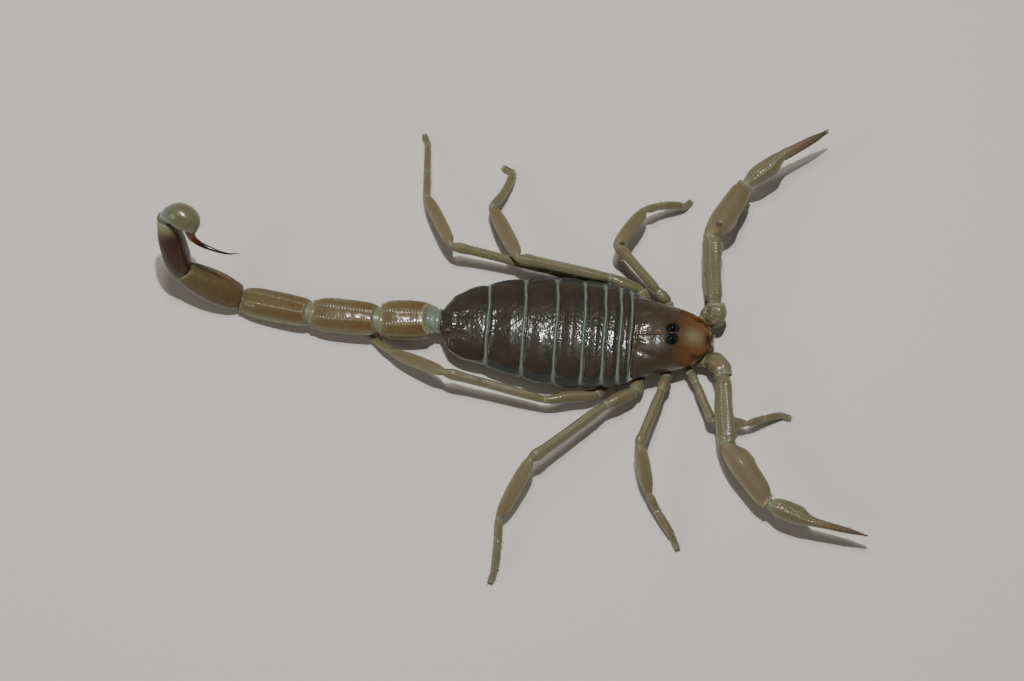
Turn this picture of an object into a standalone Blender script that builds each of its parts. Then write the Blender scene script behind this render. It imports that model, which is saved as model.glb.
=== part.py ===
"""Desert scorpion at rest, life size, as one closed solid for each part of the body.

Written in millimetres and built in metres. +X runs towards the head, +Y to the animal's left
and +Z up from the floor that it stands on.
"""

import math

import bpy
from mathutils import Vector

MM = 0.001
JOINT_GAP = 0.06      # clear space left between two neighbouring pieces
CAP_RISE = 0.02       # how far the middle of each end cap stands out
UP = Vector((0.0, 0.0, 1.0))

# ---- Trunk -------------------------------------------------------------------------------
BODY_SIDES = 24
SPINE = ((-15.9, -0.50), (-14.0, -0.52), (-12.0, -0.24), (-10.4, -0.08), (-1.0, 0.03), (0.0, 0.12),
         (6.6, 0.80))
TERGITE_EDGES = (0.02, -0.85, -2.09, -3.72, -5.92, -8.47, -11.35, -15.86)
TRUNK_HALF_WIDTH = ((-15.9, 1.10), (-15.2, 1.72), (-14.4, 2.35), (-13.2, 3.02), (-12.0, 3.34), (-10.0, 3.76),
                    (-8.0, 4.20), (-6.0, 4.38), (-4.0, 4.45), (-2.0, 4.22), (0.1, 3.88))
TRUNK_TOP = ((-15.9, 3.42), (-14.0, 3.55), (-11.4, 3.98), (-8.5, 4.42), (-5.0, 4.66),
             (-2.0, 4.64), (0.1, 4.50))
TRUNK_EDGE = ((-15.9, 2.48), (-11.4, 2.35), (-5.0, 2.42), (-3.6, 2.50), (-2.0, 2.95), (0.1, 3.02))
TRUNK_BOTTOM = ((-15.9, 1.52), (-14.4, 0.95), (-12.0, 0.50), (-6.0, 0.50), (-5.9, 0.98),
                (-3.73, 0.98), (-3.71, 1.90), (-2.1, 1.95), (-2.05, 2.78), (0.1, 2.82))

CARAPACE_STATIONS = (0.10, 1.20, 2.30, 3.20, 4.00, 4.80, 5.50, 6.05, 6.45)
CARAPACE_HALF_WIDTH = ((0.0, 3.32), (1.0, 3.17), (2.0, 2.93), (3.0, 2.67), (4.0, 2.40),
                       (5.0, 2.03), (5.5, 1.70), (6.0, 1.22), (6.5, 0.50))
CARAPACE_TOP = ((0.0, 4.50), (1.2, 4.62), (2.3, 4.76), (3.2, 4.74), (4.0, 4.45), (4.8, 4.02),
                (5.5, 3.58), (6.05, 3.18), (6.45, 2.92))
CARAPACE_EDGE = ((0.0, 3.05), (3.0, 2.90), (6.5, 2.70))
CARAPACE_FLOOR_DROP = 0.16    # thickness of the shell's rim below its widest level

STERNUM_STATIONS = (-2.00, -1.20, 0.40, 2.40, 4.00, 4.95)
STERNUM_HALF_WIDTH = ((-2.0, 1.30), (-1.2, 1.50), (0.4, 1.50), (2.4, 1.28), (4.0, 0.95), (4.95, 0.70))
STERNUM_TOP = 2.55
STERNUM_MIDDLE = 1.70
STERNUM_BOTTOM = ((-2.0, 1.05), (-1.2, 0.85), (2.4, 0.85), (4.95, 1.15))

EYE_CENTRE_X = 3.20
EYE_HALF_SPACING = 0.48
EYE_RADIUS = 0.38
EYE_BASE_Z = 4.80
EYE_HEIGHT = 0.34

# ---- Tail: the joints from the trunk to the sting, and the size of each segment ----------
TAIL_SIDES = 16
TAIL_JOINTS = ((-15.89, -0.52, 2.50), (-20.18, -1.03, 2.30), (-25.73, -1.17, 1.85),
               (-31.75, -0.56, 0.94), (-36.52, 0.38, 4.10), (-37.57, 2.84, 9.80))
TAIL_HALF_WIDTHS = (1.50, 1.32, 1.21, 1.12, 1.05)
TAIL_HALF_HEIGHTS = (1.22, 1.18, 1.15, 1.15, 1.02)
TAIL_DORSAL = ((0.0, 0.0, 1.0), (0.0, 0.05, 1.0), (0.0, 0.15, 1.0), (0.58, 0.40, 0.70), (0.95, 0.10, 0.10))
TAIL_STATIONS = ((0.0, 0.80), (0.10, 0.93), (0.30, 1.0), (0.60, 1.03), (0.90, 0.93), (1.0, 0.82))
TAIL_TIP_STATIONS = ((0.0, 0.84), (0.10, 0.95), (0.35, 1.08), (0.65, 1.02), (0.90, 0.82), (1.0, 0.66))
VESICLE = ((-37.40, 2.92, 10.20, 0.48), (-37.02, 2.96, 10.50, 0.78), (-36.42, 2.98, 10.62, 1.03),
           (-35.78, 2.78, 10.48, 1.05), (-35.36, 2.44, 10.08, 0.78), (-35.24, 2.14, 9.70, 0.40))
ACULEUS = ((-35.34, 2.08, 9.50, 0.32), (-35.12, 1.72, 9.12, 0.30), (-34.60, 1.39, 8.86, 0.27),
           (-33.77, 1.17, 8.72, 0.26), (-32.99, 1.00, 8.72, 0.25), (-32.19, 0.93, 8.80, 0.22),
           (-31.45, 1.04, 9.00, 0.12))

# ---- Pedipalps: coxa, hip and joints out to the finger tips ------------------------------
PALP_SIDES = 12
PALP_ROOTS = {
    "left": ((5.20, 1.98, 1.70, 0.44), (5.85, 2.42, 1.94, 0.54), (6.50, 3.08, 2.68, 0.70)),
    "right": ((5.30, -0.82, 1.70, 0.44), (6.20, -0.64, 1.90, 0.52), (7.20, -1.08, 2.66, 0.70)),
}
PALP_JOINTS = {
    "left": ((6.30, 3.96, 3.15), (5.38, 9.24, 3.90), (7.62, 14.10, 3.50), (9.90, 16.40, 3.80),
             (13.74, 19.35, 4.00)),
    "right": ((7.74, -2.14, 3.10), (8.72, -7.60, 3.30), (12.52, -11.77, 3.00), (15.59, -12.61, 2.85),
              (20.61, -13.19, 2.60)),
}
PALP_FEMUR = ((0.0, 0.52), (0.12, 0.66), (0.5, 0.72), (0.88, 0.70), (1.0, 0.56))
PALP_PATELLA = ((0.0, 0.50), (0.14, 0.74), (0.45, 0.95), (0.80, 0.86), (1.0, 0.52))
PALP_PALM = ((0.0, 0.42), (0.14, 0.66), (0.45, 0.80), (0.78, 0.72))
FINGER_RADIUS = 0.26
FINGER_TIP_RADIUS = 0.14
FINGER_LIFT = 0.30            # each finger's middle stands this far from the line between them

# ---- Walking legs ------------------------------------------------------------------------
LEG_SIDES = 8
# Lengths of trochanter, femur, patella, tibia, basitarsus and telotarsus.
LEG_LENGTHS = {
    1: (1.05, 3.40, 2.90, 1.65, 1.60, 1.05),
    2: (1.30, 4.95, 4.05, 1.70, 2.30, 1.25),
    3: (2.80, 7.50, 5.35, 2.05, 2.10, 1.30),
    4: (4.30, 8.25, 5.10, 2.45, 2.80, 1.20),
}
# Half widths of coxa, trochanter, femur, patella, tibia, basitarsus and telotarsus.
LEG_HALF_WIDTHS = {
    1: (0.33, 0.38, 0.35, 0.42, 0.30, 0.28, 0.26),
    2: (0.46, 0.50, 0.40, 0.56, 0.34, 0.34, 0.27),
    3: (0.52, 0.54, 0.44, 0.60, 0.36, 0.34, 0.28),
    4: (0.48, 0.48, 0.38, 0.51, 0.32, 0.29, 0.26),
}
COXA_ROOT_X = {1: 4.00, 2: 2.70, 3: 1.00, 4: -0.80}
COXA_ROOT_Z = 1.55
HIPS = {
    ("left", 1): (5.55, 3.05), ("left", 2): (2.52, 3.68),
    ("left", 3): (0.26, 4.27), ("left", 4): (-2.97, 4.64),
    ("right", 1): (5.12, -1.75), ("right", 2): (3.17, -2.60),
    ("right", 3): (0.83, -3.92), ("right", 4): (-2.17, -4.45),
}
# Compass headings of the six lengths, in degrees from +X towards +Y.
LEG_HEADINGS = {
    ("left", 1): (72, 94, 96, 70, 68, 62),
    ("left", 2): (139, 141, 62, 30, 20, 52),
    ("left", 3): (165, 177, 122.5, 64, 78, 155),
    ("left", 4): (173, 176, 122.5, 98, 98, 117),
    ("right", 1): (-55, -62, 5, 29, 26, -7),
    ("right", 2): (-100, -104, -70, -54, -50, -60),
    ("right", 3): (-142, -134.5, -112, -85, -89, -102),
    ("right", 4): (-163, 174, 162, 146, 168, 172),
}
# Heights of the hip and of the far end of each of the six lengths.
LEG_HEIGHTS = {
    ("left", 1): (1.08, 1.30, 1.95, 1.70, 1.15, 0.62, 0.26),
    ("left", 2): (2.00, 2.60, 3.70, 2.90, 2.20, 0.95, 0.26),
    ("left", 3): (2.00, 2.60, 3.40, 2.10, 1.35, 0.65, 0.26),
    ("left", 4): (1.58, 1.70, 3.10, 2.10, 1.30, 0.65, 0.26),
    ("right", 1): (1.50, 1.80, 2.20, 1.80, 1.20, 0.62, 0.26),
    ("right", 2): (2.00, 2.50, 3.20, 1.70, 1.10, 0.60, 0.26),
    ("right", 3): (2.00, 2.55, 3.30, 1.65, 1.10, 0.60, 0.26),
    ("right", 4): (1.62, 2.20, 3.20, 1.50, 0.66, 0.36, 0.26),
}

COMB_TEETH = 9
COMB_LENGTH = 2.9
COMB_ROOT_X = -2.85
COMB_ROOT_SPREAD = 0.75
COMB_TOP = 0.86
COMB_THICKNESS = 0.34

MATERIALS = {
    "back_shell": ((0.075, 0.052, 0.036), 0.22),
    "front_shell": ((0.140, 0.075, 0.030), 0.24),
    "underside": ((0.300, 0.210, 0.110), 0.38),
    "limb_shell": ((0.290, 0.185, 0.085), 0.30),
    "tail_shell": ((0.220, 0.125, 0.050), 0.30),
    "vesicle": ((0.230, 0.200, 0.110), 0.25),
    "sting": ((0.035, 0.010, 0.004), 0.20),
    "eye": ((0.004, 0.004, 0.004), 0.06),
}


def along(table, x):
    """Value at x of a table of (x, value) pairs in rising order of x."""
    if x <= table[0][0]:
        return table[0][1]
    for (x0, v0), (x1, v1) in zip(table, table[1:]):
        if x <= x1:
            return v0 + (v1 - v0) * (x - x0) / (x1 - x0)
    return table[-1][1]


def heading(degrees):
    """Level unit vector at a compass heading."""
    angle = math.radians(degrees)
    return Vector((math.cos(angle), math.sin(angle), 0.0))


def loft(rings, cap=CAP_RISE):
    """Closed body through rings that all have the same number of points."""
    count = len(rings[0])
    verts = [point for ring in rings for point in ring]
    faces = []
    for k in range(len(rings) - 1):
        for i in range(count):
            j = (i + 1) % count
            faces.append((k * count + i, k * count + j, (k + 1) * count + j, (k + 1) * count + i))
    for ring, inner, start, flip in ((rings[0], rings[1], 0, True),
                                     (rings[-1], rings[-2], (len(rings) - 1) * count, False)):
        middle = sum(ring, Vector()) / count
        outward = (middle - sum(inner, Vector()) / count).normalized()
        pole = len(verts)
        verts.append(middle + outward * cap)
        for i in range(count):
            a, b = start + i, start + (i + 1) % count
            faces.append((b, a, pole) if flip else (a, b, pole))
    return verts, faces


def ring_about(middle, normal, up, half_width, half_height, sides, square=1.0):
    """Ring across a limb. A square value under 1 fills out its corners."""
    side = up.cross(normal).normalized()
    over = normal.cross(side).normalized()
    ring = []
    for k in range(sides):
        angle = 2.0 * math.pi * (k + 0.5) / sides
        c, s = math.cos(angle), math.sin(angle)
        across = math.copysign(abs(c) ** square, c) * half_width
        above = math.copysign(abs(s) ** square, s) * half_height
        ring.append(middle + side * across + over * above)
    return ring


def tube(path, halves, sides, up=UP, first=None, last=None, square=1.0, floor=False):
    """Limb along a path. first and last are the normals of its two end rings."""
    rings = []
    for k, middle in enumerate(path):
        before = (path[k] - path[k - 1]).normalized() if k else None
        after = (path[k + 1] - path[k]).normalized() if k + 1 < len(path) else None
        if before is None:
            normal = first or after
        elif after is None:
            normal = last or before
        else:
            normal = (before + after).normalized()
        width, height = halves[k]
        rings.append(ring_about(middle, normal, up, width, height, sides, square))
    if floor:
        for ring in rings:
            for point in ring:
                point.z = max(point.z, 0.0)
    return loft(rings)


def joint_plane(before, joint, after):
    """Normal of the plane that halves the bend at a joint."""
    return ((joint - before).normalized() + (after - joint).normalized()).normalized()


def stations(start, end, first, last, table, ratio=1.0, scale=1.0):
    """Path and half sizes between two joints, drawn back from both joints by half the gap."""
    inset = JOINT_GAP / 2 + CAP_RISE
    path, halves = [], []
    for t, half in table:
        point = start.lerp(end, t)
        if t == 0.0:
            point = start + first * inset
        if t == 1.0:
            point = end - last * inset
        path.append(point)
        halves.append((half * scale, half * scale * ratio))
    return path, halves


def trunk_ring(x, lean=0.0):
    """Ring across the trunk at x, a high arch above its widest level and a flatter one below."""
    middle = along(SPINE, x)
    half = along(TRUNK_HALF_WIDTH, x)
    top, edge, bottom = along(TRUNK_TOP, x), along(TRUNK_EDGE, x), along(TRUNK_BOTTOM, x)
    ring = []
    for k in range(BODY_SIDES):
        angle = 2.0 * math.pi * k / BODY_SIDES
        c, s = math.cos(angle), math.sin(angle)
        height = (top - edge) * abs(s) ** 0.85 if s > 0 else -(edge - bottom) * abs(s) ** 0.8
        ring.append(Vector((x, middle + half * c, edge + height)))
    return ring


def shield_ring(x):
    """Ring across the carapace at x: an arch over a flat underside."""
    middle, half = along(SPINE, x), along(CARAPACE_HALF_WIDTH, x)
    top, edge = along(CARAPACE_TOP, x), along(CARAPACE_EDGE, x)
    arch, under = 16, 8
    ring = []
    for k in range(arch + 1):
        angle = math.pi * k / arch
        c = math.cos(angle)
        ring.append(Vector((x, middle + half * math.copysign(abs(c) ** 0.92, c),
                            edge + (top - edge) * math.sin(angle) ** 0.8)))
    for k in range(1, under):
        across = -1.0 + 2.0 * k / under
        ring.append(Vector((x, middle + half * 0.96 * across, edge - CARAPACE_FLOOR_DROP)))
    return ring


def sternum_ring(x):
    """Ring across the sternum and the genital plate at x."""
    middle, half = along(SPINE, x), along(STERNUM_HALF_WIDTH, x)
    bottom = along(STERNUM_BOTTOM, x)
    ring = []
    for k in range(12):
        angle = 2.0 * math.pi * (k + 0.5) / 12
        c, s = math.cos(angle), math.sin(angle)
        reach = STERNUM_TOP - STERNUM_MIDDLE if s > 0 else STERNUM_MIDDLE - bottom
        ring.append(Vector((x, middle + half * math.copysign(abs(c) ** 0.5, c),
                            STERNUM_MIDDLE + reach * math.copysign(abs(s) ** 0.5, s))))
    return ring


def eye_dome(sign):
    """Low dome of one median eye, with a flat base."""
    middle = Vector((EYE_CENTRE_X, along(SPINE, EYE_CENTRE_X) + sign * EYE_HALF_SPACING, EYE_BASE_Z))
    rings = []
    for lift in (0.0, 0.35, 0.75):
        radius = EYE_RADIUS * math.sqrt(1.0 - lift ** 2)
        rings.append([middle + Vector((radius * math.cos(a), radius * math.sin(a), EYE_HEIGHT * lift))
                      for a in (2.0 * math.pi * k / 12 for k in range(12))])
    return loft(rings, cap=EYE_HEIGHT * 0.22)


def comb(sign):
    """One pecten: a thin spine with a row of rounded teeth along its rear edge."""
    root = Vector((COMB_ROOT_X, along(SPINE, COMB_ROOT_X) + sign * COMB_ROOT_SPREAD, 0.0))
    run = heading(180.0 - sign * 42.0)
    rear = heading(180.0 + sign * 48.0)
    outline = [root, root + run * COMB_LENGTH]
    steps = 2 * COMB_TEETH
    for k in range(steps + 1):
        t = 1.0 - k / steps
        depth = 0.62 + 0.34 * (k % 2)
        outline.append(root + run * (COMB_LENGTH * t) + rear * depth * (0.75 + 0.25 * t))
    if sign < 0:
        outline.reverse()
    low = [point + UP * (COMB_TOP - COMB_THICKNESS) for point in outline]
    high = [point + UP * COMB_TOP for point in outline]
    count = len(outline)
    faces = [tuple(range(count - 1, -1, -1)), tuple(range(count, 2 * count))]
    for i in range(count):
        j = (i + 1) % count
        faces.append((i, j, count + j, count + i))
    return low + high, faces


def pedipalp(side, bodies):
    """Trochanter, femur, patella, palm with its fixed finger, and movable finger."""
    joints = [Vector(point) for point in PALP_JOINTS[side]]
    root = [Vector(row[:3]) for row in PALP_ROOTS[side]]
    planes = [joint_plane(before, joint, after) for before, joint, after
              in zip([root[-1]] + joints, joints, joints[1:])]
    inset = JOINT_GAP / 2 + CAP_RISE
    path = root + [joints[0] - planes[0] * inset]
    halves = [(row[3], row[3]) for row in PALP_ROOTS[side]] + [(0.56, 0.56)]
    bodies[f"pedipalp_{side}_trochanter"] = tube(path, halves, PALP_SIDES, last=planes[0])
    for name, k, table in (("femur", 0, PALP_FEMUR), ("patella", 1, PALP_PATELLA)):
        path, halves = stations(joints[k], joints[k + 1], planes[k], planes[k + 1], table, ratio=0.95)
        bodies[f"pedipalp_{side}_{name}"] = tube(
            path, halves, PALP_SIDES, first=planes[k], last=planes[k + 1])

    wrist, knuckle, tip = joints[2:]
    reach = (tip - knuckle).normalized()
    across = UP.cross(reach).normalized()
    lift = (UP * 0.9 + across * (0.45 if side == "left" else -0.45)).normalized()
    path, halves = stations(wrist, knuckle, planes[2], planes[3], PALP_PALM, ratio=1.0)
    fixed = ((0.0, 0.42), (0.12, FINGER_RADIUS + 0.02), (0.4, FINGER_RADIUS), (0.75, FINGER_RADIUS - 0.03),
             (1.0, FINGER_TIP_RADIUS))
    for t, half in fixed:
        offset = FINGER_LIFT * (0.60 if t == 0.0 else 1.0 - 0.35 * t * t)
        path.append(knuckle.lerp(tip, t) + lift * offset)
        halves.append((half, half))
    bodies[f"pedipalp_{side}_palm"] = tube(path, halves, PALP_SIDES, first=planes[2])
    path, halves = [], []
    for t, half in ((0.11, 0.20), (0.15, FINGER_RADIUS)) + fixed[2:]:
        offset = FINGER_LIFT * (1.12 - 0.40 * t * t)
        path.append(knuckle.lerp(tip, t) - lift * offset)
        halves.append((half, half))
    bodies[f"pedipalp_{side}_finger"] = tube(path, halves, PALP_SIDES)


def leg(side, number, bodies):
    """Thigh (coxa, trochanter and femur), patella, and foot (tibia and tarsus) of one leg."""
    sign = 1.0 if side == "left" else -1.0
    key = (side, number)
    lengths, widths, heights = LEG_LENGTHS[number], LEG_HALF_WIDTHS[number], LEG_HEIGHTS[key]
    root_x = COXA_ROOT_X[number]
    flank = along(STERNUM_HALF_WIDTH, root_x - widths[0]) + JOINT_GAP + 2 * CAP_RISE
    root = Vector((root_x, along(SPINE, root_x) + sign * flank, COXA_ROOT_Z))
    points = [Vector((*HIPS[key], heights[0]))]
    for length, degrees, height in zip(lengths, LEG_HEADINGS[key], heights[1:]):
        rise = height - points[-1].z
        level = math.sqrt(length ** 2 - rise ** 2)
        ahead = points[-1] + heading(degrees) * level
        points.append(Vector((ahead.x, ahead.y, height)))
    hip, hinge, knee, shin, ankle, heel, toe = points
    coxa_w, hip_w, femur_w, patella_w, tibia_w, heel_w, toe_w = widths
    knee_plane = joint_plane(hinge, knee, shin)
    shin_plane = joint_plane(knee, shin, ankle)
    inset = JOINT_GAP / 2 + CAP_RISE

    path = [root, hip, hip.lerp(hinge, 0.55), hinge, hinge.lerp(knee, 0.12), hinge.lerp(knee, 0.5),
            hinge.lerp(knee, 0.9), knee - knee_plane * inset]
    round_sizes = [coxa_w, hip_w, hip_w * 1.04]
    round_sizes += [femur_w * 0.86, femur_w * 0.98, femur_w, femur_w * 1.02, femur_w * 0.88]
    halves = [(half, half) for half in round_sizes]
    bodies[f"leg_{side}_{number}_thigh"] = tube(
        path, halves, LEG_SIDES, first=Vector((0.0, sign, 0.0)), last=knee_plane)

    table = ((0.0, 0.62), (0.14, 0.92), (0.5, 1.0), (0.86, 0.80), (1.0, 0.56))
    path, halves = stations(knee, shin, knee_plane, shin_plane, table, scale=patella_w)
    bodies[f"leg_{side}_{number}_patella"] = tube(path, halves, LEG_SIDES, first=knee_plane, last=shin_plane)

    path = [shin + shin_plane * inset, shin.lerp(ankle, 0.3), shin.lerp(ankle, 0.85), ankle.lerp(heel, 0.12),
            ankle.lerp(heel, 0.8), heel.lerp(toe, 0.1), heel.lerp(toe, 0.55), toe]
    round_sizes = [tibia_w * 0.86, tibia_w, tibia_w * 0.95, heel_w, heel_w * 0.95, toe_w, toe_w, toe_w * 0.9]
    halves = [(half, half) for half in round_sizes]
    for k in (5, 6):
        path[k].z = toe_w - 0.02 + (0.10 if k == 5 else 0.0)
    bodies[f"leg_{side}_{number}_foot"] = tube(path, halves, LEG_SIDES, first=shin_plane, floor=True)


def tail(bodies):
    """Five tail segments, the vesicle and the sting."""
    joints = [Vector(point) for point in TAIL_JOINTS]
    bulb = [Vector(row[:3]) for row in VESICLE]
    chain = [Vector((-12.0, -0.30, 2.45))] + joints + [bulb[1]]
    planes = [joint_plane(before, joint, after) for before, joint, after in zip(chain, chain[1:], chain[2:])]
    planes[0] = Vector((-1.0, 0.0, 0.0))
    for k, (wide, high) in enumerate(zip(TAIL_HALF_WIDTHS, TAIL_HALF_HEIGHTS)):
        table = TAIL_TIP_STATIONS if k == 4 else TAIL_STATIONS
        path, halves = stations(joints[k], joints[k + 1], planes[k], planes[k + 1], table,
                                ratio=high / wide, scale=wide)
        bodies[f"metasoma_{k + 1}"] = tube(
            path, halves, TAIL_SIDES, up=Vector(TAIL_DORSAL[k]), first=planes[k], last=planes[k + 1],
            square=0.88, floor=True)
    plane = planes[-1]
    path = [joints[-1] + plane * (JOINT_GAP / 2 + CAP_RISE + 0.03)] + bulb[1:]
    halves = [(row[3], row[3]) for row in VESICLE]
    bodies["vesicle"] = tube(path, halves, 14, up=Vector((0.0, 1.0, 0.3)), first=plane)
    path = [Vector(row[:3]) for row in ACULEUS]
    path[0] = bulb[-1] + (path[1] - bulb[-1]).normalized() * (JOINT_GAP + 2 * CAP_RISE)
    halves = [(row[3], row[3]) for row in ACULEUS]
    bodies["aculeus"] = tube(path, halves, 8, first=(bulb[-1] - bulb[-2]).normalized())


def trunk(bodies):
    """Carapace, underside, mouthparts, eyes, seven back segments and the combs."""
    bodies["carapace"] = loft([shield_ring(x) for x in CARAPACE_STATIONS])
    bodies["sternum"] = loft([sternum_ring(x) for x in STERNUM_STATIONS])
    for name, sign in (("left", 1.0), ("right", -1.0)):
        path, halves = [], []
        rows = ((5.10, 0.40, 0.36), (5.70, 0.46, 0.42), (6.55, 0.44, 0.40), (7.00, 0.34, 0.22))
        for x, spread, half in rows:
            path.append(Vector((x, along(SPINE, x) + sign * spread, 1.96)))
            halves.append((half, half))
        bodies[f"chelicera_{name}"] = tube(path, halves, 10)
        bodies[f"median_eye_{name}"] = eye_dome(sign)
        bodies[f"pecten_{name}"] = comb(sign)
    for k, (front, rear) in enumerate(zip(TERGITE_EDGES, TERGITE_EDGES[1:])):
        inset = JOINT_GAP / 2 + CAP_RISE
        steps = 5 if k == 6 else 2
        xs = [rear + inset + (front - rear - 2 * inset) * i / steps for i in range(steps + 1)]
        bodies[f"mesosoma_{k + 1}"] = loft([trunk_ring(x) for x in xs])


def slot_for(name):
    """Material of each part, from its name."""
    if name.startswith("mesosoma"):
        return "back_shell"
    if name == "carapace":
        return "front_shell"
    if name.startswith("metasoma"):
        return "tail_shell"
    if name in ("vesicle",):
        return "vesicle"
    if name == "aculeus":
        return "sting"
    if name.startswith("median_eye"):
        return "eye"
    if name.startswith(("sternum", "pecten")):
        return "underside"
    return "limb_shell"


def main():
    for thing in list(bpy.data.objects):
        bpy.data.objects.remove(thing, do_unlink=True)

    bodies = {}
    trunk(bodies)
    tail(bodies)
    for side in ("left", "right"):
        pedipalp(side, bodies)
        for number in LEG_LENGTHS:
            leg(side, number, bodies)

    points = [point for verts, _ in bodies.values() for point in verts]
    middle = [(min(p[axis] for p in points) + max(p[axis] for p in points)) / 2 for axis in (0, 1)]
    shift = Vector((-middle[0], -middle[1], -min(p.z for p in points)))

    for name, (verts, faces) in bodies.items():
        mesh = bpy.data.meshes.new(name)
        mesh.from_pydata([(point + shift) * MM for point in verts], [], faces)
        mesh.validate()
        mesh.update()
        colour, roughness = MATERIALS[slot_for(name)]
        material = bpy.data.materials.new(name)
        material.use_nodes = True
        shader = material.node_tree.nodes["Principled BSDF"]
        shader.inputs["Base Color"].default_value = (*colour, 1.0)
        shader.inputs["Roughness"].default_value = roughness
        shader.inputs["Metallic"].default_value = 0.0
        mesh.materials.append(material)
        body = bpy.data.objects.new(name, mesh)
        bpy.context.scene.collection.objects.link(body)


main()
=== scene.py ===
"""Looks of a life-size desert scorpion at rest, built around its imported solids.

Lengths are millimetres in body coordinates: the rear edge of the carapace is at x = 0, the head
is towards +X, the animal's left is +Y and the floor is z = 0. They become metres in the frame
where a mesh is made.
"""

import math

import bpy
import numpy as np
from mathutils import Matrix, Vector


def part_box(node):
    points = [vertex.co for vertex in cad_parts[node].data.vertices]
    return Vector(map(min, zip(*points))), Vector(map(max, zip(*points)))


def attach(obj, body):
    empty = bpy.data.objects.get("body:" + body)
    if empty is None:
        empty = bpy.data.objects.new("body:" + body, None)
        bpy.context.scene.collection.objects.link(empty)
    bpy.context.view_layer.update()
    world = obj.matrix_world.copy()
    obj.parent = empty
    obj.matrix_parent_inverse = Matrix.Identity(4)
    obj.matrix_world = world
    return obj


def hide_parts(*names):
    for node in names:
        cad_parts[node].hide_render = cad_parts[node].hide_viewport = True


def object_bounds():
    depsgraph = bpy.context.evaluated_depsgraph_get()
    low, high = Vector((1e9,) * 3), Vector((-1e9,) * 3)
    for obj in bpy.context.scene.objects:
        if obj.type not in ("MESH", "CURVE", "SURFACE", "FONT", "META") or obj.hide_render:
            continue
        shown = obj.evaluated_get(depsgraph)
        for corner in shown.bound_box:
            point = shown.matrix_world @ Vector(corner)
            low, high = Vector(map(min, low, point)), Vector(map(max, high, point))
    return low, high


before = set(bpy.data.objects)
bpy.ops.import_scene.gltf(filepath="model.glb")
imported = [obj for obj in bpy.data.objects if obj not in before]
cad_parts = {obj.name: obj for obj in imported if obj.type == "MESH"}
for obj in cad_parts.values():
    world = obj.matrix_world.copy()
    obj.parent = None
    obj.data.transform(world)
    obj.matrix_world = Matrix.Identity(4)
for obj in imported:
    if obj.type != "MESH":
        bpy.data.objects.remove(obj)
CAD_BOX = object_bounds()

MM = 0.001
UP = np.array((0.0, 0.0, 1.0))
WELD = 1e-7                    # corners closer than this, in metres, are one corner
EYES_AT = (3.20, 0.45)         # middle of the two median eyes in body coordinates
MASKS = ("pale", "dark", "amber")

SIDES = ("left", "right")
LEGS = (1, 2, 3, 4)
SHELL_LIP = 0.045              # radius of the rounded rim of a limb shell
PATCH_ACROSS = 0.003           # size of one seta's patch on the unwrap

# ---- Reading the solids ------------------------------------------------------------------


def middle_of(node):
    low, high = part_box(node)
    return (np.array(low) + np.array(high)) / 2 / MM


EYES_MIDDLE = (middle_of("median_eye_left") + middle_of("median_eye_right")) / 2
BODY_ZERO = np.array((EYES_MIDDLE[0] - EYES_AT[0], EYES_MIDDLE[1] - EYES_AT[1], 0.0))


def box_of(node):
    """Low and high corners of a solid's box in body coordinates."""
    return [np.array(corner) / MM - BODY_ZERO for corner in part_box(node)]


def solid(node):
    """Corners of a solid in body coordinates, and the neighbours of each corner."""
    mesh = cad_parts[node].data
    index, corners, place = {}, [], []
    for vertex in mesh.vertices:
        key = tuple(round(c / WELD) for c in vertex.co)
        if key not in index:
            index[key] = len(corners)
            corners.append(np.array(vertex.co) / MM - BODY_ZERO)
        place.append(index[key])
    joined = [set() for _ in corners]
    for edge in mesh.edges:
        a, b = (place[v] for v in edge.vertices)
        if a != b:
            joined[a].add(b)
            joined[b].add(a)
    return np.array(corners), joined


def rings_of(node, sides, near):
    """Section rings of a lofted solid, in order from its end nearest to a point."""
    corners, joined = solid(node)
    walks = []
    for pole in (k for k in range(len(corners)) if len(joined[k]) == sides):
        seen, rings = {pole}, [[pole]]
        while len(rings) == 1 or len(rings[-1]) == sides:
            rings.append(sorted({j for k in rings[-1] for j in joined[k]} - seen))
            seen |= set(rings[-1])
        if len(rings) > 3:
            walks.append((np.linalg.norm(corners[pole] - near), rings[1:-1]))
    walks.sort(key=lambda walk: walk[0])
    first, last = walks[0][1], walks[-1][1]
    met = {k for ring in first for k in ring}
    rings = first + [ring for ring in reversed(last) if not met & set(ring)]
    return [corners[ring] for ring in rings]


def stations(*nodes):
    """Cuts of solids square to X, as rows of x, middle, half width, widest level, top and bottom."""
    rows = []
    for node in nodes:
        corners, _ = solid(node)
        for x in sorted(set(np.round(corners[:, 0], 3))):
            cut = corners[np.abs(corners[:, 0] - x) < 0.002]
            if len(cut) < 8:
                continue
            low, high = cut.min(axis=0), cut.max(axis=0)
            rim = cut[np.argmax(cut[:, 1])][2]
            rows.append((x, (low[1] + high[1]) / 2, (high[1] - low[1]) / 2, rim, high[2], low[2]))
    return np.array(sorted(rows))


# ---- Curves, relief and masks ------------------------------------------------------------


def unit(vectors):
    return vectors / np.maximum(np.linalg.norm(vectors, axis=-1, keepdims=True), 1e-12)


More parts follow.
